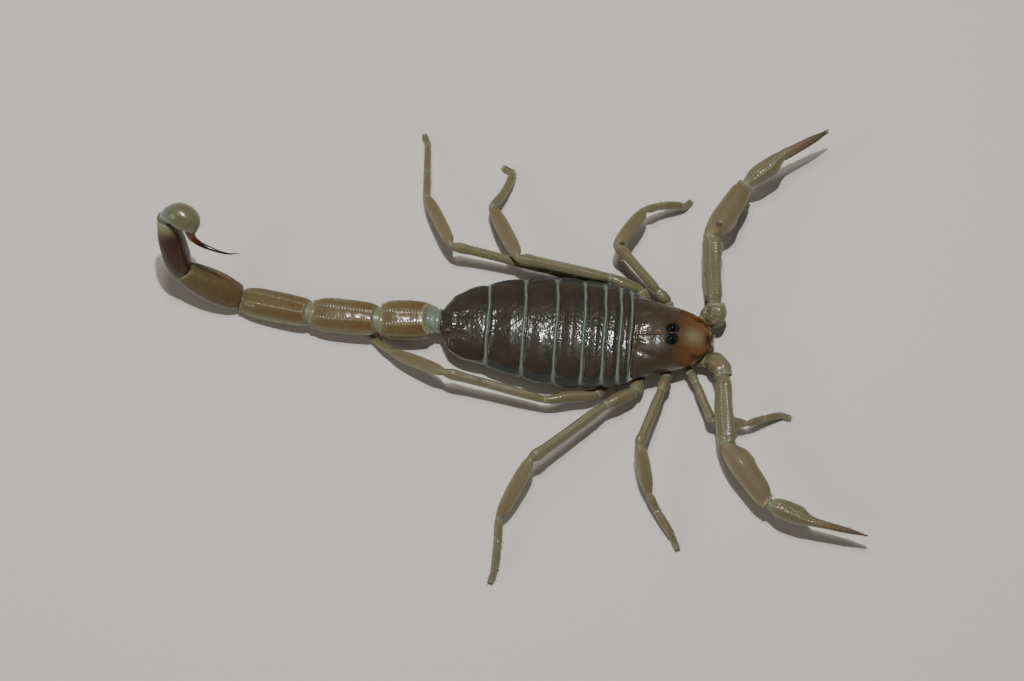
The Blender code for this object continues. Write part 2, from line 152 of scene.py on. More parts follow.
def curve(knots, values, x, limited=True):
    """Smooth curve through values at rising knots, read at x. A limited one never overshoots."""
    knots, values = np.asarray(knots, float), np.asarray(values, float)
    x = np.clip(np.asarray(x, float), knots[0], knots[-1])
    spread = (-1,) + (1,) * (values.ndim - 1)
    step = np.diff(knots).reshape(spread)
    slope = np.diff(values, axis=0) / step
    if len(knots) > 2:
        inner = (slope[:-1] * step[1:] + slope[1:] * step[:-1]) / (step[:-1] + step[1:])
        if limited:
            most = 3.0 * np.minimum(np.abs(slope[:-1]), np.abs(slope[1:]))
            held = np.sign(inner) * np.minimum(np.abs(inner), most)
            inner = np.where(slope[:-1] * slope[1:] > 0, held, 0.0)
        slopes = np.concatenate([slope[:1], inner, slope[-1:]])
    else:
        slopes = np.concatenate([slope, slope])
    k = np.clip(np.searchsorted(knots, x, side="right") - 1, 0, len(knots) - 2)
    gap = np.diff(knots)[k]
    t = (x - knots[k]) / gap
    shape = t.shape + (1,) * (values.ndim - 1)
    t, gap = t.reshape(shape), gap.reshape(shape)
    return ((1 + 2 * t) * (1 - t) ** 2 * values[k] + t * (1 - t) ** 2 * gap * slopes[k]
            + t ** 2 * (3 - 2 * t) * values[k + 1] + t ** 2 * (t - 1) * gap * slopes[k + 1])


def table(pairs, x):
    """Value at x of a table of (x, value) pairs."""
    knots, values = zip(*pairs)
    return curve(knots, values, x)


def bump(value, middle, width):
    """Round bump of height 1 about a middle value."""
    return np.exp(-((value - middle) / width) ** 2)


def ramp(value, start, end):
    """Smooth step from 0 at start to 1 at end."""
    t = np.clip((value - start) / (end - start), 0.0, 1.0)
    return t * t * (3 - 2 * t)


def relief(points, size, seed):
    """Smooth random relief from about -1 to 1 whose bumps are about the given size."""
    rng = np.random.default_rng(seed)
    waves = unit(rng.normal(size=(10, 3))) * (2 * math.pi / size) * rng.uniform(0.6, 1.5, (10, 1))
    return np.sin(points @ waves.T + rng.uniform(0, 2 * math.pi, 10)).mean(axis=-1) * 1.6


def turned(angle, middle):
    """How far an angle is from a middle one, in degrees, from -180 to 180."""
    return (np.degrees(angle) - middle + 180.0) % 360.0 - 180.0


# ---- Pieces ------------------------------------------------------------------------------


class Work:
    """Points, faces and paint masks of one piece while it is made."""

    def __init__(self):
        self.points, self.faces, self.count = [], [], 0
        self.masks = {name: [] for name in MASKS}
        self.patches = []

    def add(self, points, faces, patch=None, **masks):
        points = np.asarray(points, float).reshape(-1, 3)
        self.points.append(points)
        self.faces.extend(tuple(int(k) + self.count for k in face) for face in faces)
        for name in MASKS:
            values = np.asarray(masks.get(name, 0.0), float)
            self.masks[name].append(np.broadcast_to(values, (len(points),)))
        if patch is not None:
            self.patches.extend([patch] * sum(len(face) for face in faces))
        self.count += len(points)

    def make(self, name, material, slot, *nodes):
        """Mesh object that stands for the given solids, in the given material. The slot is not used."""
        points = (np.concatenate(self.points) + BODY_ZERO) * MM
        mesh = bpy.data.meshes.new(name)
        mesh.from_pydata(points.tolist(), [], self.faces)
        for mask in MASKS:
            layer = mesh.attributes.new(mask, "FLOAT", "POINT")
            values = np.clip(np.concatenate(self.masks[mask]), 0, 1)
            layer.data.foreach_set("value", values.astype(np.float32))
        mesh.update()
        mesh.shade_smooth()
        mesh.materials.append(material)
        if self.patches:
            self.unwrap(mesh)
        piece = bpy.data.objects.new(name, mesh)
        bpy.context.scene.collection.objects.link(piece)
        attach(piece, "root")
        if nodes:
            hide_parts(*nodes)
        return piece

    def unwrap(self, mesh):
        """Each seta is a small patch at its root's place on the unwrapped shells."""
        layer = mesh.uv_layers.new(name="OFBake")
        corners = np.array(self.patches)
        turn = np.arange(len(corners)) * 2.4
        spread = np.stack([np.cos(turn), np.sin(turn)], axis=1) * PATCH_ACROSS / 2
        layer.data.foreach_set("uv", (corners + spread).astype(np.float32).ravel())


class Line:
    """Centre line of a limb with its directions and half sizes."""

    def __init__(self, middles, normals, ups, across, high):
        self.middles, self.normals, self.ups = (np.asarray(v, float) for v in (middles, normals, ups))
        self.across, self.high = np.asarray(across, float), np.asarray(high, float)
        steps = np.linalg.norm(np.diff(self.middles, axis=0), axis=1)
        self.knots = np.concatenate([[0.0], np.cumsum(steps)])
        self.length = self.knots[-1]

    def at(self, s):
        """Middles, sides, overs, normals and half sizes at distances that may run past the ends."""
        s = np.asarray(s, float)
        held = np.clip(s, 0.0, self.length)
        normal = unit(curve(self.knots, self.normals, held))
        middle = curve(self.knots, self.middles, held, limited=False) + normal * (s - held)[..., None]
        side = unit(np.cross(unit(curve(self.knots, self.ups, held)), normal))
        over = np.cross(normal, side)
        across, high = curve(self.knots, self.across, held), curve(self.knots, self.high, held)
        return middle, side, over, normal, across, high

    def at_one(self, s):
        """What at() gives, for a single distance."""
        return [values[0] for values in self.at([s])]

    def spot(self, s, angle, reach=1.0):
        """Point on the skin and the direction out of it."""
        middle, side, over, _, across, high = self.at(s)
        c, d = np.cos(angle)[..., None], np.sin(angle)[..., None]
        across, high = across[..., None], high[..., None]
        reach = np.asarray(reach, float)
        reach = reach[..., None] if reach.ndim else reach
        out = unit(side * c * high + over * d * across)
        return middle + (side * c * across + over * d * high) * reach, out


def ring_line(rings, up=UP, fill=1.0):
    """Line through section rings. fill scales the rings' half sizes."""
    middles = np.array([ring.mean(axis=0) for ring in rings])
    runs = np.gradient(middles, axis=0)
    normals, across, high = [], [], []
    for ring, middle, run in zip(rings, middles, runs):
        normal = np.linalg.svd(ring - middle)[2][2]
        normal = normal * math.copysign(1.0, normal @ run)
        side = unit(np.cross(up, normal))
        over = np.cross(normal, side)
        across.append(math.sqrt(2 * np.mean(((ring - middle) @ side) ** 2)) * fill)
        high.append(math.sqrt(2 * np.mean(((ring - middle) @ over) ** 2)) * fill)
        normals.append(normal)
    return Line(middles, normals, [up] * len(rings), across, high)


def limb_line(node, sides, near, **how):
    """Line through a lofted solid, from its end nearest to a point."""
    return ring_line(rings_of(node, sides, near), **how)


def path_line(points, halves, up=UP, flat=1.0):
    """Line through bare points with a round or flattened section."""
    points = np.asarray(points, float)
    runs = unit(np.gradient(points, axis=0))
    return Line(points, runs, [up] * len(points), halves, np.asarray(halves, float) * flat)


def grid_faces(rows, around, first=0):
    """Quads between rings of equal size, and the fans to the poles before and after them."""
    k, i = np.meshgrid(np.arange(rows - 1), np.arange(around), indexing="ij")
    j = (i + 1) % around
    base = first + 1
    quads = np.stack([k * around + i, k * around + j, (k + 1) * around + j, (k + 1) * around + i], -1) + base
    faces = [tuple(face) for face in quads.reshape(-1, 4).tolist()]
    last = base + rows * around
    for m in range(around):
        n = (m + 1) % around
        faces.append((base + n, base + m, first))
        faces.append((base + (rows - 1) * around + m, base + (rows - 1) * around + n, last))
    return faces


def swept(line, rows, around, shape=None):
    """Closed skin round a line, from rows of (distance, reach) that start and end on the line.

    Returns the points, the faces, and each point's distance and angle."""
    rows = np.asarray(rows, float)
    s, reach = rows[:, 0], rows[:, 1]
    angle = 2 * math.pi * (np.arange(around) + 0.5) / around
    middle, side, over, _, across, high = line.at(s)
    s_grid, a_grid = np.meshgrid(s[1:-1], angle, indexing="ij")
    scale = reach[1:-1, None] * np.ones(around)
    if shape is not None:
        scale = scale * shape(s_grid, a_grid)
    wall = (middle[1:-1, None] + side[1:-1, None] * (np.cos(a_grid) * scale * across[1:-1, None])[..., None]
            + over[1:-1, None] * (np.sin(a_grid) * scale * high[1:-1, None])[..., None])
    points = np.concatenate([middle[:1], wall.reshape(-1, 3), middle[-1:]])
    distance = np.concatenate([s[:1], s_grid.ravel(), s[-1:]])
    turn = np.concatenate([[0.0], a_grid.ravel(), [0.0]])
    return points, grid_faces(len(rows) - 2, around), distance, turn


def shell_rows(start, end, half, lip=SHELL_LIP, count=24, cup=0.5, tuck=0.35, head_reach=0.88):
    """Rows of a limb shell: a round head tucked into the joint before it, the wall, and a cupped mouth."""
    head = (0.5 if head_reach < 0.9 else 0.25) * half
    first = start - tuck * half + head
    rows = [(first - head * math.cos(a), head_reach * math.sin(a)) for a in np.linspace(0.0, math.pi / 2, 8)]
    wall_end = end - lip
    for k in range(1, count + 1):
        s = first + (wall_end - first) * k / count
        rows.append((s, 1.0 - (1 - head_reach) * (1 - float(ramp(s, first, first + 0.7 * half)))))
    lip_reach = lip / half
    for turn in np.radians((75, 45, 15, -15, -45, -75)):
        rows.append((end - lip + lip * math.cos(turn), 1.0 - lip_reach + lip_reach * math.sin(turn)))
    depth = cup * half
    rows += [(end - lip * 1.2, 1.0 - 2.1 * lip_reach), (end - depth * 0.85, 0.62), (end - depth, 0.30),
             (end - depth, 0.0)]
    return rows


def round_rows(start, end, count=14):
    """Rows of a body rounded at both ends."""
    angles = np.linspace(0.0, math.pi, count)
    middle, half = (start + end) / 2, (end - start) / 2
    return [(middle - half * math.cos(a), math.sin(a) ** 0.8 if 0 < a < 3.14 else 0.0) for a in angles]


def edge_distance(base):
    """How far each point of a grid is from the grid's nearest edge."""
    down = np.cumsum(np.linalg.norm(np.diff(base, axis=0, prepend=base[:1]), axis=2), axis=0)
    over = np.cumsum(np.linalg.norm(np.diff(base, axis=1, prepend=base[:, :1]), axis=2), axis=1)
    return np.minimum(np.minimum(down, down[-1:] - down), np.minimum(over, over[:, -1:] - over))


def corner_cut(distance, corner):
    """How far a plate's round corner draws its side in, at a distance from its end."""
    arc = np.sqrt(np.maximum(corner ** 2 - (corner - distance) ** 2, 0))
    return np.where(distance < corner, corner - arc, 0.0)


def rounded(edge, rounding):
    """Share of a plate's full thickness at a distance from its edge."""
    return np.sqrt(1 - (1 - np.clip(edge / rounding, 0, 1)) ** 2)


def plate(base, thickness, rounding, lift=None, floor=None):
    """Closed plate over a grid of points: a top, a bottom, and a round edge where they meet."""
    run, across = np.gradient(base, axis=0), np.gradient(base, axis=1)
    normal = unit(np.cross(run, across))
    if normal[..., 2].mean() < 0:
        normal = -normal
    edge = edge_distance(base)
    full = rounded(edge, rounding)
    top = base + normal * (full * thickness / 2)[..., None]
    if lift is not None:
        top = top + normal * (lift * full)[..., None]
    bottom = base - normal * (full * thickness / 2)[..., None]
    if floor is not None:
        bottom = base.copy()
        bottom[..., 2] = base[..., 2] * (1 - full) + floor * full
    return top, bottom, edge


def plate_mesh(top, bottom):
    """Points and faces of a plate whose top and bottom share their outermost points."""
    m, n = top.shape[:2]
    index = np.arange(m * n).reshape(m, n)
    under = index.copy()
    under[1:-1, 1:-1] = m * n + np.arange((m - 2) * (n - 2)).reshape(m - 2, n - 2)
    points = np.concatenate([top.reshape(-1, 3), bottom[1:-1, 1:-1].reshape(-1, 3)])
    here, ahead, beside = top[m // 2, n // 2], top[m // 2 + 1, n // 2], top[m // 2, n // 2 + 1]
    outward = np.cross(ahead - here, beside - here) @ (here - bottom[m // 2, n // 2]) > 0
    a, b, c, d = index[:-1, :-1], index[1:, :-1], index[1:, 1:], index[:-1, 1:]
    p, q, r, t = under[:-1, :-1], under[1:, :-1], under[1:, 1:], under[:-1, 1:]
    over = [a, b, c, d] if outward else [a, d, c, b]
    below = [p, t, r, q] if outward else [p, q, r, t]
    faces = np.concatenate([np.stack(over, -1).reshape(-1, 4), np.stack(below, -1).reshape(-1, 4)])
    return points, faces.tolist()


def with_under(values):
    """A mask on a plate's top grid, carried to the points of its bottom."""
    return np.concatenate([values.ravel(), values[1:-1, 1:-1].ravel()])


def eased(count, tight=0.85):
    """Steps from 0 to 1 that crowd towards both ends, the more so the closer tight is to 1."""
    t = np.linspace(0.0, 1.0, count)
    return (1 - tight) * t + tight * (1 - np.cos(math.pi * t)) / 2


# ---- Materials ---------------------------------------------------------------------------


def tone(red, green, blue):
    """Colour from 8-bit display values."""
    shares = [value / 255 for value in (red, green, blue)]
    return tuple(((c + 0.055) / 1.055) ** 2.4 if c > 10 / 255 else c / 12.92 for c in shares)


def put(tree, kind, inputs=None, **settings):
    """New node with its settings and input values. An input given as a socket is linked."""
    node = tree.nodes.new(kind)
    for key, value in settings.items():
        setattr(node, key, value)
    for key, value in (inputs or {}).items():
        if isinstance(value, bpy.types.NodeSocket):
            tree.links.new(value, node.inputs[key])
        elif isinstance(value, tuple) and len(value) == 3 and node.inputs[key].type == "RGBA":
            node.inputs[key].default_value = (*value, 1.0)
        else:
            node.inputs[key].default_value = value
    return node


def new_group(name, inputs, outputs):
    """Empty shader group with named sockets, and its input and output nodes."""
    group = bpy.data.node_groups.new(name, "ShaderNodeTree")
    for label, kind in inputs:
        group.interface.new_socket(label, in_out="INPUT", socket_type=kind)
    for label, kind in outputs:
        group.interface.new_socket(label, in_out="OUTPUT", socket_type=kind)
    return group, group.nodes.new("NodeGroupInput"), group.nodes.new("NodeGroupOutput")


COLOUR, VALUE = "NodeSocketColor", "NodeSocketFloat"


def maths(group, operation, *values, clamp=False):
    """Result of a math node on numbers or sockets."""
    node = put(group, "ShaderNodeMath", dict(enumerate(values)), operation=operation, use_clamp=clamp)
    return node.outputs[0]


def cloud_of(group, given, detail, roughness=0.5):
    """Cloudy noise in bumps of the group's Size in millimetres, with its place and scale."""
    place = put(group, "ShaderNodeTexCoord").outputs["Object"]
    scale = maths(group, "DIVIDE", 1.0 / MM, given.outputs["Size"])
    cloud = put(group, "ShaderNodeTexNoise",
                {"Vector": place, "Scale": scale, "Detail": detail, "Roughness": roughness})
    return cloud.outputs["Fac"], place, scale


def mix_colours(group, factor, first, second, result):
    """Two colours mixed by a factor, sent out as the group's colour."""
    mix = put(group, "ShaderNodeMix", {"Factor": factor, "A": first, "B": second}, data_type="RGBA")
    group.links.new(mix.outputs["Result"], result.inputs["Color"])


def mottle_group():
    """Cloudy blend of two colours, in bumps of a size in millimetres."""
    group, given, result = new_group(
        "cuticle_mottle", [("Light", COLOUR), ("Deep", COLOUR), ("Size", VALUE), ("Contrast", VALUE)],
        [("Color", COLOUR)])
    spread = maths(group, "SUBTRACT", cloud_of(group, given, 5.0, 0.62)[0], 0.5)
    strong = maths(group, "MULTIPLY_ADD", spread, given.outputs["Contrast"], 0.5, clamp=True)
    mix_colours(group, strong, given.outputs["Deep"], given.outputs["Light"], result)
    return group


def paint_group():
    """Second colour laid over a first by a mask, with a cloudy edge."""
    group, given, result = new_group(
        "painted_zone", [("Color", COLOUR), ("Paint", COLOUR), ("Mask", VALUE), ("Breakup", VALUE),
                         ("Size", VALUE)], [("Color", COLOUR)])
    spread = maths(group, "SUBTRACT", cloud_of(group, given, 4.0, 0.6)[0], 0.5)
    sway = maths(group, "MULTIPLY", spread, given.outputs["Breakup"])
    inside = maths(group, "MULTIPLY", given.outputs["Mask"], 4.0, clamp=True)
    held = maths(group, "MULTIPLY_ADD", sway, inside, given.outputs["Mask"], clamp=True)
    mix_colours(group, held, given.outputs["Color"], given.outputs["Paint"], result)
    return group


def grain_group():
    """Height of fine cuticle: shallow dimples with a finer ripple between them."""
    group, given, result = new_group(
        "cuticle_grain", [("Size", VALUE), ("Dimples", VALUE), ("Ripple", VALUE)], [("Height", VALUE)])
    cloud, place, scale = cloud_of(group, given, 6.0, 0.6)
    cells = put(group, "ShaderNodeTexVoronoi", {"Vector": place, "Scale": scale}, feature="SMOOTH_F1")
    cells.inputs["Smoothness"].default_value = 0.6
    dimples = maths(group, "MULTIPLY", cells.outputs["Distance"], given.outputs["Dimples"])
    height = maths(group, "MULTIPLY_ADD", cloud, given.outputs["Ripple"], dimples)
    group.links.new(height, result.inputs["Height"])
    return group


def gloss_group():
    """Roughness that drifts over the surface between a glossy and a dull value."""
    group, given, result = new_group(
        "worn_gloss", [("Glossy", VALUE), ("Dull", VALUE), ("Size", VALUE)], [("Roughness", VALUE)])
    spread = put(group, "ShaderNodeMapRange",
                 {"Value": cloud_of(group, given, 3.0)[0], "From Min": 0.35, "From Max": 0.65,
                  "To Min": given.outputs["Glossy"], "To Max": given.outputs["Dull"]})
    group.links.new(spread.outputs["Result"], result.inputs["Roughness"])
    return group


GROUPS = {make.__name__: make() for make in (mottle_group, paint_group, grain_group, gloss_group)}


def use(tree, group, inputs):
    return put(tree, "ShaderNodeGroup", inputs, node_tree=GROUPS[group])


def cuticle(name, light, deep, pale, dark, amber, gloss=(0.22, 0.36), coat=0.25, depth=0.0, glow=None,
            mottle=(1.2, 2.2), grain=(0.16, 0.5, 0.6), relief_height=0.012, haze=0.3):
    """Shell or skin whose masks paint pale rims, dark marks and amber zones over a mottled ground.

    The five colours are 8-bit display values."""
    light, deep, pale, dark, amber = (tone(*shade) for shade in (light, deep, pale, dark, amber))
    material = bpy.data.materials.new(name)
    material.use_nodes = True
    tree = material.node_tree
    shader = tree.nodes["Principled BSDF"]
    colour = use(tree, "mottle_group",
                 {"Light": light, "Deep": deep, "Size": mottle[0], "Contrast": mottle[1]})
    for mask, paint, breakup in (("amber", amber, 0.35), ("dark", dark, 0.5), ("pale", pale, 0.4)):
        reader = put(tree, "ShaderNodeAttribute", attribute_name=mask)
        colour = use(tree, "paint_group", {"Color": colour.outputs["Color"], "Paint": paint,
                                           "Mask": reader.outputs["Fac"], "Breakup": breakup, "Size": 0.5})
    height = use(tree, "grain_group", {"Size": grain[0], "Dimples": grain[1], "Ripple": grain[2]})
    normal = put(tree, "ShaderNodeBump", {"Height": height.outputs["Height"], "Strength": 1.0,
                                          "Distance": relief_height * MM})
    rough = use(tree, "gloss_group", {"Glossy": gloss[0], "Dull": gloss[1], "Size": 0.9})
    tree.links.new(colour.outputs["Color"], shader.inputs["Base Color"])
    tree.links.new(normal.outputs["Normal"], shader.inputs["Normal"])
    tree.links.new(rough.outputs["Roughness"], shader.inputs["Roughness"])
    shader.inputs["IOR"].default_value = 1.5
    shader.inputs["Specular IOR Level"].default_value = haze
    shader.inputs["Coat Weight"].default_value = coat
    shader.inputs["Coat Roughness"].default_value = 0.13
    if depth:
        shader.inputs["Subsurface Weight"].default_value = depth
        shader.inputs["Subsurface Radius"].default_value = glow or (1.0, 0.6, 0.3)
        shader.inputs["Subsurface Scale"].default_value = 0.5 * MM
    return material


PALE_RIM = (130, 132, 108)
BACK = cuticle("back_shell", (57, 49, 39), (42, 37, 30), (100, 106, 94), (24, 21, 17), (62, 48, 31),
               gloss=(0.36, 0.48), coat=0.55, mottle=(0.9, 1.2), relief_height=0.004, haze=0.16)
FRONT = cuticle("front_shell", (68, 56, 41), (54, 43, 30), (122, 114, 84), (8, 6, 6), (106, 62, 14),
                gloss=(0.36, 0.48), coat=0.7, mottle=(0.9, 1.2), relief_height=0.006, haze=0.16)
SKIN = cuticle("soft_skin", (66, 69, 64), (47, 49, 47), (112, 121, 108), (34, 33, 32), (96, 78, 52),
               gloss=(0.40, 0.52), coat=0.35, depth=0.15, mottle=(0.5, 1.4), grain=(0.10, 0.2, 0.8),
               relief_height=0.006, haze=0.2)
JOINT = cuticle("joint_skin", (112, 112, 86), (94, 92, 66), (122, 130, 110), (50, 40, 28), (96, 66, 38),
                gloss=(0.36, 0.48), coat=0.5, depth=0.2, mottle=(0.5, 1.2), grain=(0.10, 0.2, 0.8),
                relief_height=0.006)
LIMB = cuticle("limb_shell", (111, 101, 73), (94, 85, 58), PALE_RIM, (60, 46, 30), (104, 60, 28),
               gloss=(0.42, 0.54), coat=0.42, depth=0.3, mottle=(1.6, 0.8), relief_height=0.005, haze=0.2)
LEAF = cuticle("limb_leaf", (109, 97, 70), (96, 84, 59), (160, 154, 124), (66, 50, 36), (108, 76, 46),
               gloss=(0.62, 0.72), coat=0.03, depth=0.3, mottle=(1.4, 0.8), relief_height=0.004)
TAIL = cuticle("tail_shell", (108, 94, 64), (90, 77, 50), (126, 128, 98), (56, 28, 12), (99, 64, 32),
               gloss=(0.38, 0.50), coat=0.35, depth=0.3, mottle=(1.6, 0.9), relief_height=0.004, haze=0.14)
VESICLE = cuticle("vesicle", (104, 100, 72), (90, 86, 58), (100, 118, 112), (60, 44, 24), (104, 74, 38),
                  gloss=(0.28, 0.38), coat=0.6, depth=0.35, mottle=(1.2, 0.9), relief_height=0.004)
STING = cuticle("sting", (66, 24, 8), (42, 14, 5), (100, 60, 30), (7, 4, 3), (104, 52, 20),
                gloss=(0.20, 0.30), coat=0.3, mottle=(0.6, 1.2), relief_height=0.002)
UNDER = cuticle("underside", (125, 108, 76), (100, 86, 58), PALE_RIM, (56, 42, 27), (112, 72, 34),
                gloss=(0.34, 0.46), coat=0.3, depth=0.2, mottle=(1.0, 1.2), relief_height=0.006)
EYE = cuticle("eye", (4, 4, 5), (3, 3, 4), (30, 34, 40), (2, 2, 2), (20, 12, 8), gloss=(0.10, 0.14),
              coat=0.0, relief_height=0.0003, haze=0.3)
SETA = cuticle("seta", (150, 120, 78), (110, 80, 46), (170, 150, 110), (70, 40, 20), (120, 70, 30),
               gloss=(0.35, 0.45), coat=0.0, mottle=(0.4, 1.2), relief_height=0.002)

# ---- Trunk -------------------------------------------------------------------------------

TRUNK = stations(*(f"mesosoma_{k}" for k in range(1, 8)))
SHIELD = stations("carapace")
SEGMENT_ENDS = [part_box(f"mesosoma_{k}") for k in range(1, 8)]
BANDS = [(SEGMENT_ENDS[k][0][0] + SEGMENT_ENDS[k + 1][1][0]) / 2 / MM - BODY_ZERO[0] for k in range(6)]
BANDS = [0.02] + BANDS
BANDS = [band - 0.10 + 0.013 * band for band in BANDS]
BAND_HALF = 0.15               # half width of the soft roll between two back plates
BAND_SKEW = 0.085              # the plates lean with the body's slight turn to one side
PLATE_THICKNESS = 0.12
SHOULDERS = (0.40, 0.38, 0.38, 0.42, 0.45, 0.34, 0.18)     # where each back plate's raised part begins
PLATE_SLOPES = (0.03, 0.06, 0.09, 0.12, 0.11, 0.08, 0.0)   # how far it then falls to the rear
BACK_POWER, BELLY_POWER = 0.85, 0.80
REAR = TRUNK[0, 0]             # where the first tail segment begins
NECK = (REAR + 0.66, 1.12, 1.60)   # front of the soft neck, its half width, and how fast the body widens
NECK_TUCK = 1.15               # length of neck inside the first tail segment

PROSOMA = ((0.10, 0.93), (2.0, 0.88), (4.0, 0.84), (5.4, 0.78))   # share of the carapace's width
PROSOMA_FLOOR, PROSOMA_LEVEL = 1.20, 2.35   # underside of the soft head, and its widest level
SKIN_AROUND = 208              # points around the soft skin
SKIN_END = 5.4                 # where the soft skin ends, under the carapace


def trunk_section(x):
    """Middle, half width, widest level, top and bottom of the trunk at x."""
    x = np.asarray(x, float)
    values = curve(TRUNK[:, 0], TRUNK[:, 1:], np.maximum(x, REAR))
    middle, half, edge, top, bottom = (values[..., k] for k in range(5))
    narrow = np.minimum(1.0, (NECK[1] + NECK[2] * np.maximum(x - NECK[0], 0.0)) / half)
    end = np.clip(1 - (np.minimum(x - REAR, 0.0) / NECK_TUCK) ** 2, 0.0, 1.0) ** 0.38
    rise = (0.35 + 0.65 * narrow) * end
    return [middle, half * narrow * end, edge, edge + (top - edge) * rise, edge - (edge - bottom) * rise]


def band_x(number, off):
    """Place of a soft roll along the body at a distance off the midline, with a slight waver."""
    bow = 0.12 * bump(off, 1.4, 1.8) + 0.015 * np.sin(3.1 * off + 1.7 * number)
    return BANDS[number] - BAND_SKEW * off + bow


def trunk_point(x, angle, out=0.0):
    """Point on the trunk at x and an angle: 0 at the animal's left, 90 degrees on the back."""
    middle, half, edge, top, bottom = trunk_section(x)
    c, s = np.cos(angle), np.sin(angle)
    rise = np.where(s > 0, (top - edge + out) * np.abs(s) ** BACK_POWER,
                    -(edge - bottom + out) * np.abs(s) ** BELLY_POWER)
    return np.stack([x + 0 * c, middle + (half + out) * c, edge + rise], axis=-1)


def granules(points, size, seed, share=0.45):
    """Height of scattered round granules, from 0 to 1. A larger share leaves fewer of them."""
    return np.clip(relief(points, size, seed) - share, 0.0, 1.0) / (1.0 - share)


def body_skin():
    """Soft skin of the whole trunk: pale rolls between the plates, pleated flanks and the neck."""
    front = TRUNK[-1, 0]
    x = np.concatenate([np.linspace(REAR - 0.98 * NECK_TUCK, REAR + 1.2, 60),
                        np.linspace(REAR + 1.25, front, 300), np.linspace(front + 0.1, SKIN_END, 50)])
    angle = 2 * math.pi * np.arange(SKIN_AROUND) / SKIN_AROUND
    xs, turn = np.meshgrid(x, angle, indexing="ij")
    off = trunk_section(xs)[1] * np.cos(turn)
    wide = 1.0 + 0.5 * np.abs(np.cos(turn)) ** 6
    roll = np.clip(sum(bump(xs, band_x(k, off), BAND_HALF * 0.72 * wide) for k in range(7)), 0, 1)
    back = ramp(np.sin(turn), 0.10, 0.45)
    flank = np.clip(1 - np.abs(np.sin(turn)) * 1.3, 0, 1)
    bellied = ramp(-np.sin(turn), 0.3, 0.6)
    out = -0.15 * back * (1 - roll) - 0.06 * bellied + 0.02 * roll * back
    cell = np.zeros_like(xs)
    for k in range(6):
        front_band, rear_band = band_x(k, off), band_x(k + 1, off)
        t = np.clip((xs - rear_band) / (front_band - rear_band), 0, 1)
        cell = np.maximum(cell, np.sin(math.pi * t) * ((xs >= rear_band) & (xs <= front_band)))
    out = out + flank * (0.24 * cell ** 0.5 - 0.14)
    pleat = np.sin(np.degrees(turn) * 0.30 + 1.5 * relief(np.stack([xs, turn, turn], -1), 2.0, 5))
    points = trunk_point(np.minimum(xs, front), turn, out)
    points[..., 0] = xs
    fold = relief(points, 0.55, 11)
    crease = relief(points * (1.0, 0.5, 0.5), 0.22, 12)
    share = table(PROSOMA, xs)
    shield = curve(SHIELD[:, 0], SHIELD[:, 1:], xs)
    c, s = np.cos(turn), np.sin(turn)
    high = np.where(s > 0, shield[..., 2] - 0.05 - PROSOMA_LEVEL, PROSOMA_LEVEL - PROSOMA_FLOOR)
    soft = np.stack([xs, shield[..., 0] + shield[..., 1] * share * c,
                     PROSOMA_LEVEL + high * np.sign(s) * np.abs(s) ** 0.7], -1)
    blend = ramp(xs, front - 0.5, front + 1.9)[..., None]
    points = points * (1 - blend) + soft * blend
    under_shield = np.minimum(points[..., 2], shield[..., 2] - 0.08)
    points[..., 2] = np.where((xs > front + 0.1) & (s > 0), under_shield, points[..., 2])
    neck = 1 - ramp(xs, REAR + 0.15, REAR + 0.75)
    outward = np.stack([0 * turn, c, s], -1)
    bumpy = (0.018 * pleat * flank + 0.012 * fold * (flank + roll * back) + 0.010 * crease * (roll + flank)
             + 0.02 * neck * np.sin(xs * 2 * math.pi / 0.30))
    points = points + outward * bumpy[..., None]
    poles = [points[0].mean(axis=0), points[-1].mean(axis=0)]
    shape = np.concatenate([[poles[0]], points.reshape(-1, 3), [poles[1]]])
    joined = np.clip(1 - cell ** 0.5 * 1.6, 0, 1)
    # painted shade and highlight on the pleated flanks: the pleats' troughs are painted darker and their
    # crests paler
    pale = np.clip(roll * ramp(np.sin(turn), -0.1, 0.25) * (0.85 + 0.15 * crease) + 0.9 * neck
                   + flank * (0.10 * pleat + 0.35 * joined), 0, 1)
    dark = flank * (0.25 + 0.30 * np.clip(-pleat, 0, 1)) * (1 - joined) * (1 - neck)
    skin = Work()
    skin.add(shape, grid_faces(len(x), len(angle)), pale=np.concatenate([[1.0], pale.ravel(), [0.0]]),
             dark=np.concatenate([[0.0], dark.ravel(), [0.0]]))
    return skin.make("body_skin", SKIN, "underside", "sternum")


